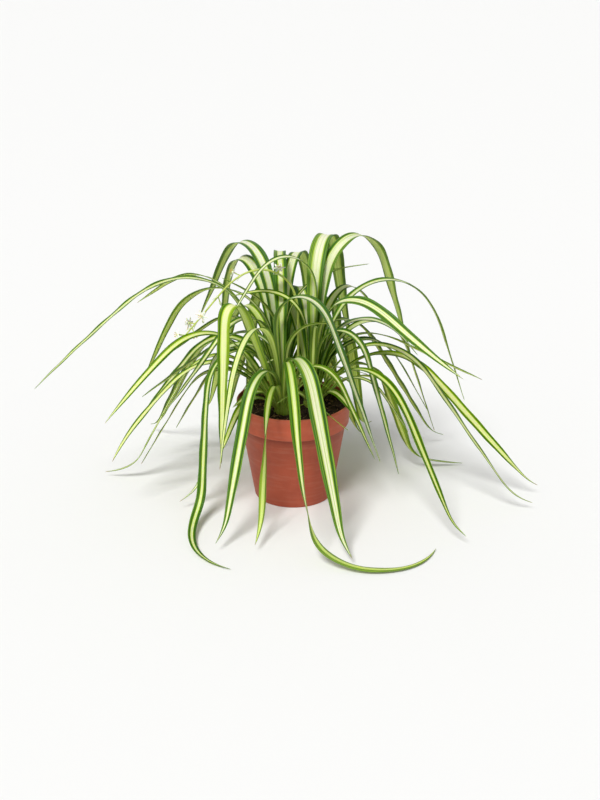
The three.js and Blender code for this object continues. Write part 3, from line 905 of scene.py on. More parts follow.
def leaf_finish(settings):
    """Cream stripe, yellow-green lines beside it, green margins, paler underside and pale sheath; greener
    towards the base, partly painted shade, and bluer grey-green on broad upright leaves, partly painted
    sheen.
    """
    leaf = Finish("variegated_leaf")
    across, along, face, tone, reach, cool = map(leaf.number, LEAF_KEYS)
    shift = leaf.times(tone, LEAF_SHIFT)
    run = leaf.times(along, reach)
    slow = leaf.noise(leaf.combine(leaf.times(run, WANDER_SCALE), shift), detail=1.0)
    wander = leaf.times(leaf.plus(slow, -0.5), WANDER_WIDTH)
    edge = leaf.plus(leaf.math("ABSOLUTE", across), wander)
    half_stripe = leaf.plus(leaf.times(tone, settings.stripe_spread), settings.stripe_share)
    past = leaf.math("SUBTRACT", edge, half_stripe)
    streak = leaf.strands(across, run, STREAK_SCALES, shift, rough=0.6)
    thread = leaf.strands(across, run, THREAD_SCALES, shift, rough=0.55)
    above = leaf.ramp(face, *UPPER_FACE)

    # Steep broad leaves take bluer, greyer lines, margins and stripe: partly a waxy tint, partly painted
    # sheen
    line = leaf.mix(cool, settings.line_green, settings.wax_and_sheen_line)
    deep = leaf.ramp(streak, *DEEP_STREAKS)
    warm_green = leaf.mix(deep, settings.deep_green, settings.margin_green)
    wax_and_sheen_green = leaf.mix(deep, settings.wax_and_sheen_deep, settings.wax_and_sheen_green)
    green = leaf.coated(
        leaf.mix(cool, warm_green, wax_and_sheen_green),
        (leaf.ramp(tone, *DEEP_LEAVES), settings.deep_green),
        (leaf.ramp(streak, *MARGIN_LINES), line),
    )
    stripe = leaf.coated(
        settings.underside,
        (above, leaf.mix(cool, settings.warm_cream, settings.cream)),
        # Greener towards the base: partly base tissue, partly painted shade
        (leaf.ramp(along, *BASE_STRIPE_GREEN_AND_SHADE), line),
        (leaf.ramp(streak, *STRIPE_LINES), line),
        (leaf.ramp(thread, *STRIPE_THREADS), line),
    )
    upper = leaf.coated(
        stripe,
        (leaf.ramp(past, *STRIPE_EDGE), line),
        (leaf.ramp(past, *LINE_EDGE), green),
        (leaf.ramp(thread, *MARGIN_THREADS), settings.deep_green),
        # Darker towards the base: partly base tissue, partly painted shade
        (leaf.ramp(along, *BASE_MARGIN_GREEN_AND_SHADE), settings.margin_green),
    )
    sheath = leaf.mix(leaf.ramp(thread, *SHEATH_THREADS), settings.sheath, settings.margin_green)
    dry = leaf.times(leaf.ramp(along, *DRY_END), leaf.ramp(tone, *DRY_LEAVES))
    colour = leaf.coated(
        upper,
        (UNDER_PALE, settings.underside),
        (leaf.ramp(thread, *UNDER_THREADS), settings.margin_green),
        (above, upper),
        (leaf.ramp(run, *SHEATH_REACH), sheath),
        (dry, settings.dry_tip),
    )
    leaf.set(
        Base_Color=colour,
        Roughness=leaf.ramp(face, *LEAF_ROUGHNESS),
        Specular_IOR_Level=0.09,
        Subsurface_Weight=0.4,
        Subsurface_Radius=(0.7, 1.0, 0.2),
        Subsurface_Scale=1.3 * MM,
    )
    ridges = leaf.plus(leaf.times(streak, 0.7), leaf.times(thread, 0.5))
    leaf.bump(ridges, strength=0.5, depth=0.6)
    return leaf.material


# Pot markings and painted shade, with heights and radii in millimetres
FLOW_SCALE = (30, 30, 260)
DARKER = 0.66
PATCHES = (0.3, 0.75)
FLOW_MARKS = (0.5, 0.8, 0.0, 0.16)
SPECKS = (0.66, 0.74, 0.0, 0.5)
# Painted shade on the body below the rim band: where the band's foot lies, and the share of shade, deepest
# just under the ledge
BELOW_RIM_BAND = (BAND_FOOT - 0.4, BAND_FOOT + 0.4, 1.0, 0.0)
SHADE_UNDER_RIM_SHARES = (BAND_FOOT - 12, BAND_FOOT, 0.4, 0.75)
LIP_EDGE = (POT_HEIGHT - 0.8, POT_HEIGHT)
LIP_WEAR = (0.35, 0.6, 0.0, 0.45)
INNER_RADIUS = RIM_RADIUS - POT_WALL
INNER_WALL = (INNER_RADIUS + 0.1, INNER_RADIUS + 0.4, 1.0, 0.0)
ABOVE_LEDGE = (BAND_FOOT + 2, BAND_FOOT + 3)
TIDE_SWAY = -9
TIDE_MARK = (SOIL_TOP - 5, SOIL_TOP + 3, 0.75, 0.0)


def pot_finish(settings):
    """Moulded plastic: fine grain, flow marks, painted shade on the body below the rim, a worn lip and soil
    on the inner wall.
    """
    pot = Finish("moulded_terracotta_plastic")
    at = pot.coordinates("Object")
    grain = pot.noise(at, scale=2600, detail=3, rough=0.6)
    drawn_out = pot.node("ShaderNodeMapping", {"Vector": at, "Scale": FLOW_SCALE}).outputs[0]
    flow = pot.noise(drawn_out, detail=3.0)
    patch = pot.noise(at, scale=34, detail=4, rough=0.6)
    speck = pot.noise(at, scale=900, detail=2, rough=0.7)
    measured = pot.node("ShaderNodeVectorMath", {0: at, "Scale": 1 / MM}, operation="SCALE").outputs[0]
    east, north, height = pot.parts(measured)
    level = pot.combine(east, north)
    out = pot.node("ShaderNodeVectorMath", {0: level}, operation="LENGTH").outputs["Value"]

    dark = dimmed(settings.colour, DARKER)
    # Painted shade: the body below the rim band is darkened, most just under the ledge
    shade_under_rim = pot.times(pot.ramp(height, *BELOW_RIM_BAND), pot.ramp(height, *SHADE_UNDER_RIM_SHARES))
    worn = pot.times(pot.ramp(height, *LIP_EDGE), pot.ramp(patch, *LIP_WEAR))
    inside = pot.times(pot.ramp(out, *INNER_WALL), pot.ramp(height, *ABOVE_LEDGE))
    tide = pot.plus(height, pot.times(patch, TIDE_SWAY))
    colour = pot.coated(
        dark,
        (pot.ramp(patch, *PATCHES), settings.colour),
        # Painted shade below the rim band
        (shade_under_rim, settings.shade_under_rim),
        (pot.ramp(flow, *FLOW_MARKS), settings.dust),
        (pot.ramp(speck, *SPECKS), dark),
        (worn, settings.dust),
        (pot.times(inside, pot.ramp(tide, *TIDE_MARK)), settings.soiled),
    )
    roughness = pot.plus(pot.times(patch, 0.18), settings.roughness)
    pot.set(Base_Color=colour, Roughness=roughness, Specular_IOR_Level=0.3)
    pot.bump(pot.plus(grain, pot.times(flow, 0.8)), strength=0.3, depth=0.12)
    return pot.material


def soil_finish(settings):
    """Damp peat: near-black crumbs with browner and tan bits, told apart by their tone."""
    soil = Finish("damp_peat")
    at = soil.coordinates("Object")
    clods = soil.noise(at, scale=260, detail=5, rough=0.65)
    grit = soil.noise(at, scale=1500, detail=3, rough=0.6)
    colour = soil.coated(
        settings.dark,
        (soil.ramp(clods, 0.35, 0.7), settings.brown),
        (soil.ramp(grit, 0.6, 0.75, last=0.5), settings.fibre),
        (soil.ramp(soil.number("tone"), 0.6, 0.95), settings.fibre),
    )
    soil.set(Base_Color=colour, Roughness=0.93, Specular_IOR_Level=0.2)
    soil.bump(soil.plus(clods, soil.times(grit, 0.5)), strength=0.9, depth=1.2)
    return soil.material


def stalk_finish(settings):
    """Yellow-green stem with darker green ribs, and pale bud tips."""
    stem = Finish("flower_stem")
    ribs = stem.strands(stem.number("across"), stem.number("along"), (6.0, 4.0), detail=3.0)
    colour = stem.coated(
        settings.stem,
        (stem.ramp(ribs, 0.4, 0.65), settings.stem_rib),
        (stem.number("tone"), settings.petal),
    )
    stem.set(Base_Color=colour, Roughness=0.42, Specular_IOR_Level=0.45)
    stem.set(Subsurface_Weight=0.1, Subsurface_Scale=1.0 * MM)
    stem.bump(ribs, strength=0.35, depth=0.2)
    return stem.material


def petal_finish(settings):
    """White petals with a faint green midline and fine length lines."""
    petal = Finish("white_petal")
    across, along = petal.number("across"), petal.number("along")
    lines = petal.strands(across, along, (9.0, 1.5))
    middle = petal.ramp(petal.math("ABSOLUTE", across), 0.05, 0.3, 1.0, 0.0)
    tint = petal.times(middle, petal.ramp(along, 0.0, 1.0, 0.55, 0.25))
    colour = petal.coated(
        settings.petal,
        (tint, settings.stem),
        (petal.ramp(lines, 0.5, 0.7, last=0.14), settings.stem),
    )
    petal.set(Base_Color=colour, Roughness=0.5, Specular_IOR_Level=0.35)
    petal.set(Subsurface_Weight=0.2, Subsurface_Scale=0.8 * MM)
    petal.bump(lines, strength=0.3, depth=0.15)
    return petal.material


def anther_finish(settings):
    """Yellow anthers with a dusty grain."""
    anther = Finish("yellow_anther")
    grain = anther.noise(anther.coordinates("Object"), scale=3000, detail=3, rough=0.6)
    anther.set(Base_Color=anther.mix(grain, settings.anther, dimmed(settings.anther, 0.6)), Roughness=0.8)
    anther.bump(grain, strength=0.5, depth=0.1)
    return anther.material


def paper_finish(settings):
    """Pale floor with the faintest flecks."""
    paper = Finish("floor_paper")
    fleck = paper.noise(paper.coordinates("Object"), scale=900)
    colour = paper.mix(fleck, settings.floor, dimmed(settings.floor, 0.985))
    paper.set(Base_Color=colour, Roughness=0.8, Specular_IOR_Level=0.2)
    return paper.material


# Settings


def setting(kind, **limits):
    """Maker of properties of one kind, which takes a name, a description, a default and further limits."""

    def make(name, description, default, **more):
        return kind(name=name, description=description, default=default, **{**limits, **more})

    return make


Colour = setting(FloatVectorProperty, size=3, min=0, max=1, subtype="COLOR")
Length = setting(FloatProperty, min=0, unit="LENGTH", subtype="DISTANCE")
Angle = setting(FloatProperty, min=0, unit="ROTATION", subtype="ANGLE")
FocalLength = setting(FloatProperty, min=1, unit="CAMERA", subtype="DISTANCE_CAMERA")
Share = setting(FloatProperty, min=0, max=1, subtype="FACTOR")
Brightness = setting(FloatProperty, min=0)
Count = setting(IntProperty, min=0)


class PotSettings(bpy.types.PropertyGroup):
    colour: Colour("Colour", "Terracotta colour of the plastic", (0.60, 0.118, 0.056))
    # Colour of the painted shade on the body below the rim band
    shade_under_rim: Colour("Damp", "Colour of the body below the rim where it stays damp", (0.17, 0.028, 0.011))
    dust: Colour("Dust", "Colour of dust and of the worn lip", (0.56, 0.28, 0.19))
    soiled: Colour("Soiled", "Colour of the soil that clings to the inner wall", (0.050, 0.024, 0.013))
    roughness: Share("Roughness", "Roughness of the plastic", 0.42)
    corner: Length("Corner", "Radius of the moulded corners", 0.0008)
    sides: Count("Sides", "Number of flat steps round the pot", 148, min=24)


class SoilSettings(bpy.types.PropertyGroup):
    dark: Colour("Dark peat", "Colour of the damp peat", (0.012, 0.0075, 0.0045))
    brown: Colour("Brown peat", "Colour of the drier crumbs", (0.055, 0.030, 0.016))
    fibre: Colour("Fibre", "Colour of bark bits and root fibres", (0.26, 0.16, 0.075))
    crumbs: Count("Crumbs", "Number of crumbs that lie on the soil", 420)
    fibres: Count("Fibres", "Number of fibres that lie on the soil", 60)
    crumb_size: Length("Crumb size", "Radius of the largest crumbs", 0.0019)


class LeafSettings(bpy.types.PropertyGroup):
    thickness: Length("Thickness", "Thickness of a blade at its middle", 0.0007)
    edge_wave: Length("Edge wave", "Height of the waves along an edge", 0.0005)
    long_leaf: Length("Long leaf", "Length past which a leaf gets twice the rows", 0.2)
    stripe_share: Share("Stripe", "Half width of the narrowest stripe, as a share of the blade's", 0.25)
    stripe_spread: Share("Stripe spread", "How much wider the widest stripe is", 0.3)
    cream: Colour("Cream", "Middle stripe of the broad leaves", (0.81, 0.81, 0.69))
    warm_cream: Colour("Warm cream", "Middle stripe of the low and narrow leaves", (0.72, 0.76, 0.33))
    line_green: Colour("Line green", "Lines beside the stripe", (0.37, 0.51, 0.01))
    # Lines of the broad leaves, bluer: partly a waxy tint, partly painted sheen
    wax_and_sheen_line: Colour("Cool line", "Lines beside the stripe of the broad leaves", (0.36, 0.50, 0.07))
    margin_green: Colour("Margin green", "Lighter green of the margins", (0.115, 0.24, 0.002))
    deep_green: Colour("Deep green", "Darker green of the margins", (0.022, 0.085, 0.001))
    # Margins of the broad leaves, bluer and greyer: partly a waxy tint, partly painted sheen
    wax_and_sheen_green: Colour("Cool green", "Lighter margins of the broad leaves", (0.09, 0.21, 0.055))
    wax_and_sheen_deep: Colour("Cool deep green", "Darker margins of the broad leaves", (0.035, 0.11, 0.024))
    underside: Colour("Underside", "Pale green of the underside", (0.67, 0.77, 0.25))
    sheath: Colour("Sheath", "Colour of the leaf bases", (0.46, 0.56, 0.10))
    dry_tip: Colour("Dry tip", "Colour of a dried tip", (0.32, 0.17, 0.05))


class FlowerSettings(bpy.types.PropertyGroup):
    stem: Colour("Stem", "Colour of the stalk", (0.56, 0.64, 0.13))
    stem_rib: Colour("Stem ribs", "Colour of the stalk's ribs", (0.34, 0.47, 0.07))
    petal: Colour("Petal", "Colour of the petals", (0.92, 0.93, 0.84))
    anther: Colour("Anther", "Colour of the anthers", (0.85, 0.64, 0.14))
    petal_thickness: Length("Petal thickness", "Thickness of a petal", 0.0004)
    sides: Count("Sides", "Number of flat steps round the stalk", 14, min=6)


class StageSettings(bpy.types.PropertyGroup):
    floor: Colour("Floor", "Colour of the floor", (0.87, 0.87, 0.86))
    floor_size: Length("Floor size", "Length of the floor's sides", 300.0, min=1)
    walls: Brightness("Wall light", "Brightness of the room's walls", 0.97)
    ceiling: Brightness("Ceiling light", "Brightness of the room's ceiling", 0.36)
    key: Brightness("Key light", "Strength of the soft light from above", 2.8)
    softness: Angle("Softness", "Angle that the key light spans", math.radians(20))
    lens: FocalLength("Lens", "Focal length of the camera", 48.0)


class PlantSettings(bpy.types.PropertyGroup):
    pot: PointerProperty(type=PotSettings, name="Pot", description="The nursery pot")
    soil: PointerProperty(type=SoilSettings, name="Soil", description="The peat, its crumbs and its fibres")
    leaf: PointerProperty(type=LeafSettings, name="Leaves", description="The striped leaves")
    flower: PointerProperty(type=FlowerSettings, name="Flowers", description="The stalk and its blooms")
    stage: PointerProperty(type=StageSettings, name="Stage", description="Floor, light and camera")


# Operators


def settle(piece, material, slot, *nodes):
    """Gives a piece its material and its body, and hides the nodes that it stands for."""
    piece.data.materials.append(material)
    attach(piece, "root")
    if nodes:
        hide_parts(*nodes)


def drilled(shell, cutters, name):
    """New mesh of a shell with its cutters taken away and its flat faces joined. Both are deleted."""
    cut = shell.modifiers.new("drill", "BOOLEAN")
    cut.operation = "DIFFERENCE"
    cut.solver = "MANIFOLD"
    cut.object = cutters
    evaluated = shell.evaluated_get(bpy.context.evaluated_depsgraph_get())
    mesh = bpy.data.meshes.new(name)
    skin = bmesh.new()
    skin.from_mesh(evaluated.data)
    bmesh.ops.dissolve_limit(skin, angle_limit=math.radians(FLAT_ANGLE), verts=skin.verts, edges=skin.edges)
    skin.to_mesh(mesh)
    skin.free()
    for used in (shell, cutters):
        bpy.data.objects.remove(used)
    return link(name, mesh)


class SPIDERPLANT_OT_pot(bpy.types.Operator):
    """Turn the nursery pot and drill its drain holes"""

    bl_idname = "spiderplant.pot"
    bl_label = "Pot"

    def execute(self, context):
        settings = context.scene.spiderplant.pot
        points, faces = turned(rounded(self.profile(), settings.corner / MM), settings.sides)
        pot = drilled(link_mesh("pot_shell", points, faces), self.drills(), "nursery_pot")
        pot.data.shade_smooth()
        pot.data.set_sharp_from_angle(angle=math.radians(SHARP_ANGLE))
        settle(pot, pot_finish(settings), "pot", "pot")
        return {"FINISHED"}

    def profile(self):
        """Outline of the wall, from under the base up to the rim and down the inside."""
        return [
            (0, RECESS_DEPTH),
            (RECESS_RADIUS, RECESS_DEPTH),
            (RECESS_RADIUS + RECESS_SLOPE, 0),
            (POT_BASE_RADIUS, 0),
            (POT_NECK_RADIUS, BAND_FOOT),
            (RIM_FOOT_RADIUS, BAND_FOOT),
            (RIM_RADIUS - LIP_SETBACK, POT_HEIGHT - LIP_DEPTH),
            (RIM_RADIUS, POT_HEIGHT - LIP_DEPTH + LIP_SLOPE),
            (RIM_RADIUS, POT_HEIGHT),
            (RIM_RADIUS - POT_WALL, POT_HEIGHT),
            (RIM_FOOT_RADIUS - POT_WALL, BAND_FOOT + POT_WALL),
            (POT_NECK_RADIUS - POT_WALL, BAND_FOOT + POT_WALL),
            (POT_BASE_RADIUS - POT_WALL, POT_FLOOR),
            (0, POT_FLOOR),
        ]

    def drills(self):
        """Round bars that stand where the drain holes go."""
        low, high = DRILL_HEIGHTS
        bar, skin = turned([(0, low), (DRAIN_RADIUS, low), (DRAIN_RADIUS, high), (0, high)], DRAIN_SIDES)
        bars = Body()
        for i in range(DRAIN_HOLES):
            turn = (i + 0.5) * 2 * math.pi / DRAIN_HOLES
            place = np.array([DRAIN_CIRCLE * math.cos(turn), DRAIN_CIRCLE * math.sin(turn), 0])
            bars.add(bar + place, skin)
        return bars.build("pot_drills")


def soil_height(x, y):
    """Height of the soil's crumbly top, the same as that of the solid but for its grit."""
    swell = np.sin(0.13 * x + 0.7) * np.cos(0.11 * y - 0.4)
    crumbs = np.sin(0.31 * x - 0.23 * y) * np.cos(0.27 * y + 0.19 * x)
    grit = GRIT_RELIEF * np.sin(1.1 * x + 0.6 * y) * np.sin(0.9 * y - 0.7 * x + 1.3)
    relief = SOIL_RELIEF * (0.6 * swell + 0.4 * crumbs) + grit
    return SOIL_TOP + relief


def crumb_shape(draw):
    """Small rough lump of unit size: rings of points pushed about, with a tip."""
    points = []
    for k, (height, radius) in enumerate(CRUMB_LEVELS):
        for c in range(CRUMB_RING):
            turn = 2 * math.pi * (c + 0.5 * (k % 2)) / CRUMB_RING
            x = radius * math.cos(turn) * between(CRUMB_WIDTHS, draw())
            y = radius * math.sin(turn) * between(CRUMB_WIDTHS, draw())
            points.append((x, y, height * between(CRUMB_HEIGHTS, draw())))
    return np.array([*points, (0, 0, CRUMB_TIP)]), skin_faces(len(CRUMB_LEVELS), CRUMB_RING)


class SPIDERPLANT_OT_soil(bpy.types.Operator):
    """Fill the pot with peat and strew crumbs and fibres on it"""

    bl_idname = "spiderplant.soil"
    bl_label = "Soil"

    def execute(self, context):
        settings = context.scene.spiderplant.soil
        material = soil_finish(settings)
        settle(self.bed(), material, "soil", "soil")
        draw = draws_from(LITTER_SEED)
        litter = Body("tone")
        for _ in range(settings.crumbs):
            self.add_crumb(litter, settings.crumb_size / MM, draw)
        for _ in range(settings.fibres):
            self.add_fibre(litter, draw)
        settle(litter.build("peat_crumbs"), material, "soil")
        return {"FINISHED"}

    def bed(self):
        profile = [
            (0, POT_FLOOR + FIT),
            (SOIL_BASE_RADIUS, POT_FLOOR + FIT),
            (SOIL_NECK_RADIUS, BAND_FOOT + POT_WALL + FIT),
            (SOIL_RADIUS, BAND_FOOT + POT_WALL + FIT),
        ]
        profile += [(SOIL_RADIUS * ring / SOIL_RINGS, SOIL_TOP) for ring in range(SOIL_RINGS, -1, -1)]
        points, faces = turned(profile, SOIL_SIDES)
        top = points[:, 2] == SOIL_TOP
        points[top, 2] = soil_height(points[top, 0], points[top, 1])
        return link_mesh("peat_bed", points, faces, {"tone": np.zeros(len(points))})

    def spot(self, margin, draw):
        out, turn = (SOIL_RADIUS - margin) * math.sqrt(draw()), 2 * math.pi * draw()
        return out * math.cos(turn), out * math.sin(turn)

    def add_crumb(self, litter, size_most, draw):
        x, y = self.spot(CRUMB_MARGIN, draw)
        size = size_most * between(CRUMB_SIZES, draw() ** 2)
        lump, skin = crumb_shape(draw)
        place = np.array([x, y, soil_height(x, y) + CRUMB_LIFT * size])
        litter.add(lump * size + place, skin, tone=between(CRUMB_TONES, draw()))

    def add_fibre(self, litter, draw):
        """Thin bent fibre that follows the soil. Its tip points inwards, so its end looks broken off."""
        x, y = self.spot(FIBRE_MARGIN, draw)
        heading, bend = 2 * math.pi * draw(), FIBRE_BEND * (draw() - 0.5)
        t = np.linspace(0, 1, FIBRE_STEPS)
        reach = between(FIBRE_LENGTHS, draw()) * t
        x, y = x + reach * np.cos(heading + bend * t), y + reach * np.sin(heading + bend * t)
        centres = np.column_stack([x, y, soil_height(x, y) + FIBRE_LIFT])
        ahead = unit(np.gradient(centres, axis=0))
        level = np.cross(ahead, (0, 0, 1.0))
        radii = np.full(FIBRE_STEPS, between(FIBRE_RADII, draw()))
        points, skin = tube(centres, level, np.cross(level, ahead), radii, FIBRE_SIDES)
        litter.add(points, [face[::-1] for face in skin], tone=between(FIBRE_TONES, draw()))


class SPIDERPLANT_OT_crowns(bpy.types.Operator):
    """Grow the three crowns with all their striped leaves"""

    bl_idname = "spiderplant.crowns"
    bl_label = "Crowns"

    def execute(self, context):
        settings = context.scene.spiderplant.leaf
        material = leaf_finish(settings)
        for number, crown in enumerate(CROWNS):
            draw = draws_from(LEAF_SEED + number)
            body = Body(*LEAF_KEYS)
            add_neck(body, crown, draw)
            for leaf in grow_leaves():
                if leaf.crown == crown:
                    add_leaf(body, leaf, settings, draw)
            made = body.build(f"leaves_{crown}")
            self.compare(made, f"crown_{crown}")
            settle(made, material, "leaf", f"crown_{crown}")
        return {"FINISHED"}

    def compare(self, made, node):
        """The leaves must reach as far as those of the node they stand for."""
        points = np.empty(len(made.data.vertices) * 3)
        made.data.vertices.foreach_get("co", points)
        points = points.reshape(-1, 3)
        low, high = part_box(node)
        off = max(np.abs(points.min(0) - low).max(), np.abs(points.max(0) - high).max()) / MM
        print(f"{node}: the leaves end within {off:.2f} mm of the solid")
        if off > LEAF_SLACK:
            raise RuntimeError(f"{node}: its leaves are {off:.1f} mm off, so the two growth rules differ")


class SPIDERPLANT_OT_stalk(bpy.types.Operator):
    """Grow the flower stalk with its bracts, side stems and buds"""

    bl_idname = "spiderplant.stalk"
    bl_label = "Flower stalk"

    def execute(self, context):
        settings = context.scene.spiderplant.flower
        stalk = grow_stalk()
        body = Body("along", "across", "tone")
        u = np.arange(COURSE_STEPS + 1) / COURSE_STEPS
        radii = STALK_RADIUS * between((1, STALK_TIP_SHARE), u)
        points, faces = tube(stalk.place, stalk.side, stalk.up, radii, settings.sides)
        around = by_side(np.arange(settings.sides), len(u), 0)
        body.add(points, faces, along=by_row(u, settings.sides, 1), across=around)
        for spot in BLOOMS + BUDS:
            self.add_side_stem(body, stalk, spot)
        for spot in BUDS:
            self.add_bud(body, stalk, spot)
        for k in sorted({step_at(share) for share, _ in BLOOMS + BUDS} | LOW_BRACTS):
            self.add_bract(body, stalk, k)
        settle(body.build("flower_stem"), stalk_finish(settings), "stalk", "flower_stalk")
        return {"FINISHED"}

    def add_side_stem(self, body, stalk, spot):
        foot, away = side_stem(stalk, spot)
        t = np.linspace(0, 1, SIDE_STEM_ROWS)
        radii = SIDE_STEM_RADIUS * (SIDE_STEM_WAIST + SIDE_STEM_FLARE * np.abs(t - SIDE_STEM_WAIST_AT))
        points, faces = stacked(radii, t * SIDE_STEM_LENGTH, SIDE_STEM_LENGTH + 0.1, SIDE_STEM_SIDES)
        around = by_side(np.arange(SIDE_STEM_SIDES), SIDE_STEM_ROWS, 0)
        body.add(placed_along(points, foot, away), faces, along=UPPER_STALK, across=around)

    def add_bud(self, body, stalk, spot):
        foot, away = side_stem(stalk, spot)
        t = np.linspace(*BUD_SPAN, BUD_ROWS)
        radii = BUD_RADIUS * np.sin(math.pi * t) ** BUD_FULLNESS * (1 - BUD_TAPER * t)
        lobes = 1 + BUD_LOBE * np.cos(PETALS * turns(BUD_SIDES))
        points, faces = stacked(radii, t * BUD_LENGTH, BUD_LENGTH, BUD_SIDES, lobes)
        points = placed_along(points, foot + away * (SIDE_STEM_LENGTH - BUD_RADIUS), away)
        around = by_side(np.arange(BUD_SIDES), BUD_ROWS, 0)
        tone = by_row(between(BUD_TONES, t), BUD_SIDES, 1)
        body.add(points, faces, along=UPPER_STALK, across=around, tone=tone)

    def add_bract(self, body, stalk, k):
        """Small pointed leaf that clasps the stalk below each side stem."""
        along, turn = stalk.along[k], BRACT_TURN * k
        _, (points, faces, across, _) = sprout(
            foot=stalk.place[k] - along * (0.1 * BRACT_LENGTH),
            along=along,
            out=stalk.side[k] * math.cos(turn) + stalk.up[k] * math.sin(turn),
            steps=8,
            length=BRACT_LENGTH,
            lean=(0.8 * STALK_RADIUS, 2.2),
            half_width=1.3,
            taper=1.6,
            folds=(0.5, 0.5),
            thickness=0.35,
            tip=(0.8, 0.5),
        )
        body.add(points, faces, along=UPPER_STALK, across=across * 3, tone=0.25)


def spoke(number):
    """Direction in which a petal with this number points, away from the Y axis."""
    turn = 2 * math.pi * number / PETALS
    return np.array([math.cos(turn), 0, math.sin(turn)])


class SPIDERPLANT_OT_blooms(bpy.types.Operator):
    """Open the six star blooms with their stamens"""

    bl_idname = "spiderplant.blooms"
    bl_label = "Blooms"

    def execute(self, context):
        settings = context.scene.spiderplant.flower
        petals, anthers = petal_finish(settings), anther_finish(settings)
        for number, spot in enumerate(BLOOMS, 1):
            place, away = bloom_place(grow_stalk(), spot)
            draw = draws_from(PETAL_SEED + number)
            star = Body("across", "along")
            for i in range(PETALS):
                self.add_petal(star, i, place, away, settings.petal_thickness / MM, draw)
            self.add_core(star, place, away)
            settle(star.build(f"star_bloom_{number}"), petals, "petal", f"bloom_{number}")
            tips = Body()
            for i in range(PETALS):
                self.add_stamen(tips, i, place, away)
            settle(tips.build(f"anthers_{number}"), anthers, "petal")
        return {"FINISHED"}

    def add_petal(self, star, i, place, away, thickness, draw):
        out, side = spoke(i), spoke(i + PETALS / 4)
        up = np.cross(out, side)
        t = np.arange(PETAL_STEPS) / PETAL_STEPS
        wide = np.interp(t, *PETAL_WIDTHS) * (1 if i % 2 else NARROW_PETAL)
        arc = np.interp(t, *PETAL_ARC) * between(ARC_SHARES, draw())
        length = PETAL_LENGTH * between(LENGTH_SHARES, draw())
        course = out * (length * between(PETAL_SPAN, t))[:, None] + up * arc[:, None]
        half = PETAL_HALF_WIDTH * np.sqrt(np.clip(wide, LEAST_WIDTH_SHARE, 1)) * wide**0.5
        points, faces, across, _ = blade(course, side, up, half, PETAL_FOLD, thickness, out * length)
        along = by_row(t, BLADE_SIDES, 1)
        star.add(placed_along(points, place, away), faces, across=across, along=along)

    def add_core(self, star, place, away):
        t = np.linspace(*CORE_SPAN, CORE_ROWS)
        radii = BLOOM_CORE * CORE_WIDTH * np.sin(math.pi * t) ** CORE_FULLNESS
        heights = BLOOM_CORE * between(CORE_HEIGHTS, t)
        points, faces = stacked(radii, heights, BLOOM_CORE * CORE_TOP, CORE_SIDES)
        star.add(placed_along(points, place, away), faces)

    def add_stamen(self, tips, i, place, away):
        out, up = spoke(i + 0.5), np.array([0, 1, 0])
        grain, skin = crumb_shape(draws_from(ANTHER_SEED + i))
        anther = grain * ANTHER_SIZE + out * ANTHER_OUT + up * ANTHER_UP
        tips.add(placed_along(anther, place, away), skin)
        t = np.linspace(0, 1, FILAMENT_STEPS)[:, None]
        centres = out * between(FILAMENT_OUT, t) + up * between(FILAMENT_UP, t)
        ahead = unit(np.repeat((centres[-1] - centres[0])[None], FILAMENT_STEPS, 0))
        level = unit(np.cross(ahead, np.cross(ahead, out)))
        radii = np.full(FILAMENT_STEPS, FILAMENT_RADIUS)
        points, faces = tube(centres, level, np.cross(ahead, level), radii, FILAMENT_SIDES)
        tips.add(placed_along(points, place, away), faces)


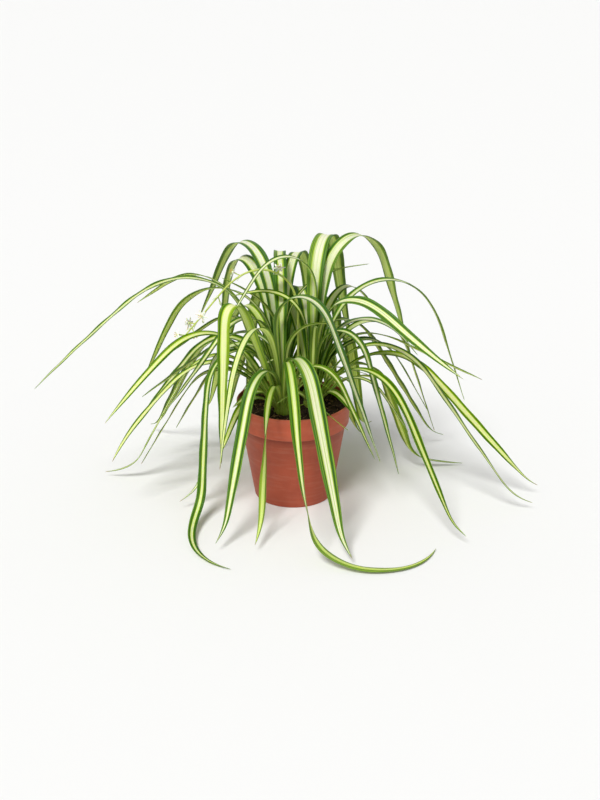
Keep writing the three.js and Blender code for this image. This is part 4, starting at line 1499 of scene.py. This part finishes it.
class SPIDERPLANT_OT_stage(bpy.types.Operator):
    """Lay the pale floor and set the soft light and the camera"""

    bl_idname = "spiderplant.stage"
    bl_label = "Stage"

    def execute(self, context):
        settings = context.scene.spiderplant.stage
        half = settings.floor_size / 2 / MM
        corners = [(-half, -half, 0), (half, -half, 0), (half, half, 0), (-half, half, 0)]
        floor = link_mesh("floor", corners, [(0, 1, 2, 3)])
        floor.data.materials.append(paper_finish(settings))
        self.set_room(context, settings)
        self.set_key(settings)
        self.set_camera(context, settings)
        context.scene.view_settings.view_transform = "Standard"
        return {"FINISHED"}

    def set_room(self, context, settings):
        """White room, as bright as its walls low down and dimmer overhead."""
        world = bpy.data.worlds.new("studio")
        world.use_nodes = True
        room = Nodes(world.node_tree)
        height = room.parts(room.coordinates("Generated"))["Z"]
        background = world.node_tree.nodes["Background"]
        room.put(background.inputs["Color"], (1, 1, 1, 1))
        brightness = room.ramp(height, 0.0, CEILING_FROM, settings.walls, settings.ceiling)
        room.put(background.inputs["Strength"], brightness)
        context.scene.world = world

    def set_key(self, settings):
        light = bpy.data.lights.new("key_light", "SUN")
        light.energy = settings.key
        light.angle = settings.softness
        lamp = link("key_light", light)
        lamp.rotation_euler = Vector(KEY_DIRECTION).to_track_quat("-Z", "Y").to_euler()

    def set_camera(self, context, settings):
        """The photograph's camera: its place beside the plant, turned to the plant and zoomed in."""
        lens = bpy.data.cameras.new("camera")
        lens.lens = settings.lens
        lens.sensor_width = SENSOR_WIDTH
        camera = link("camera", lens)
        camera.location = CAMERA_PLACE
        sight = Vector(CAMERA_AIM) - camera.location
        camera.rotation_euler = sight.to_track_quat("-Z", "Y").to_euler()
        context.scene.camera = camera


class SPIDERPLANT_PT_panel(bpy.types.Panel):
    """Steps and settings of the potted spider plant"""

    bl_idname = "SPIDERPLANT_PT_panel"
    bl_label = "Potted Spider Plant"
    bl_space_type = "VIEW_3D"
    bl_region_type = "UI"
    bl_category = "Plant"

    def draw(self, context):
        settings = context.scene.spiderplant
        for operator, group in STEPS:
            box = self.layout.box()
            box.operator(operator.bl_idname)
            if group:
                for key in getattr(settings, group).__annotations__:
                    box.prop(getattr(settings, group), key)


STEPS = [
    (SPIDERPLANT_OT_pot, "pot"),
    (SPIDERPLANT_OT_soil, "soil"),
    (SPIDERPLANT_OT_crowns, "leaf"),
    (SPIDERPLANT_OT_stalk, "flower"),
    (SPIDERPLANT_OT_blooms, None),
    (SPIDERPLANT_OT_stage, "stage"),
]
GROUPS = [PotSettings, SoilSettings, LeafSettings, FlowerSettings, StageSettings, PlantSettings]
CLASSES = [*GROUPS, *(operator for operator, _ in STEPS), SPIDERPLANT_PT_panel]


def register():
    for made in CLASSES:
        bpy.utils.register_class(made)
    bpy.types.Scene.spiderplant = PointerProperty(type=PlantSettings)


def unregister():
    del bpy.types.Scene.spiderplant
    for made in reversed(CLASSES):
        bpy.utils.unregister_class(made)


def main():
    register()
    bpy.ops.spiderplant.pot()
    bpy.ops.spiderplant.soil()
    bpy.ops.spiderplant.crowns()
    bpy.ops.spiderplant.stalk()
    bpy.ops.spiderplant.blooms()
    bpy.ops.spiderplant.stage()


if __name__ == "__main__":
    main()
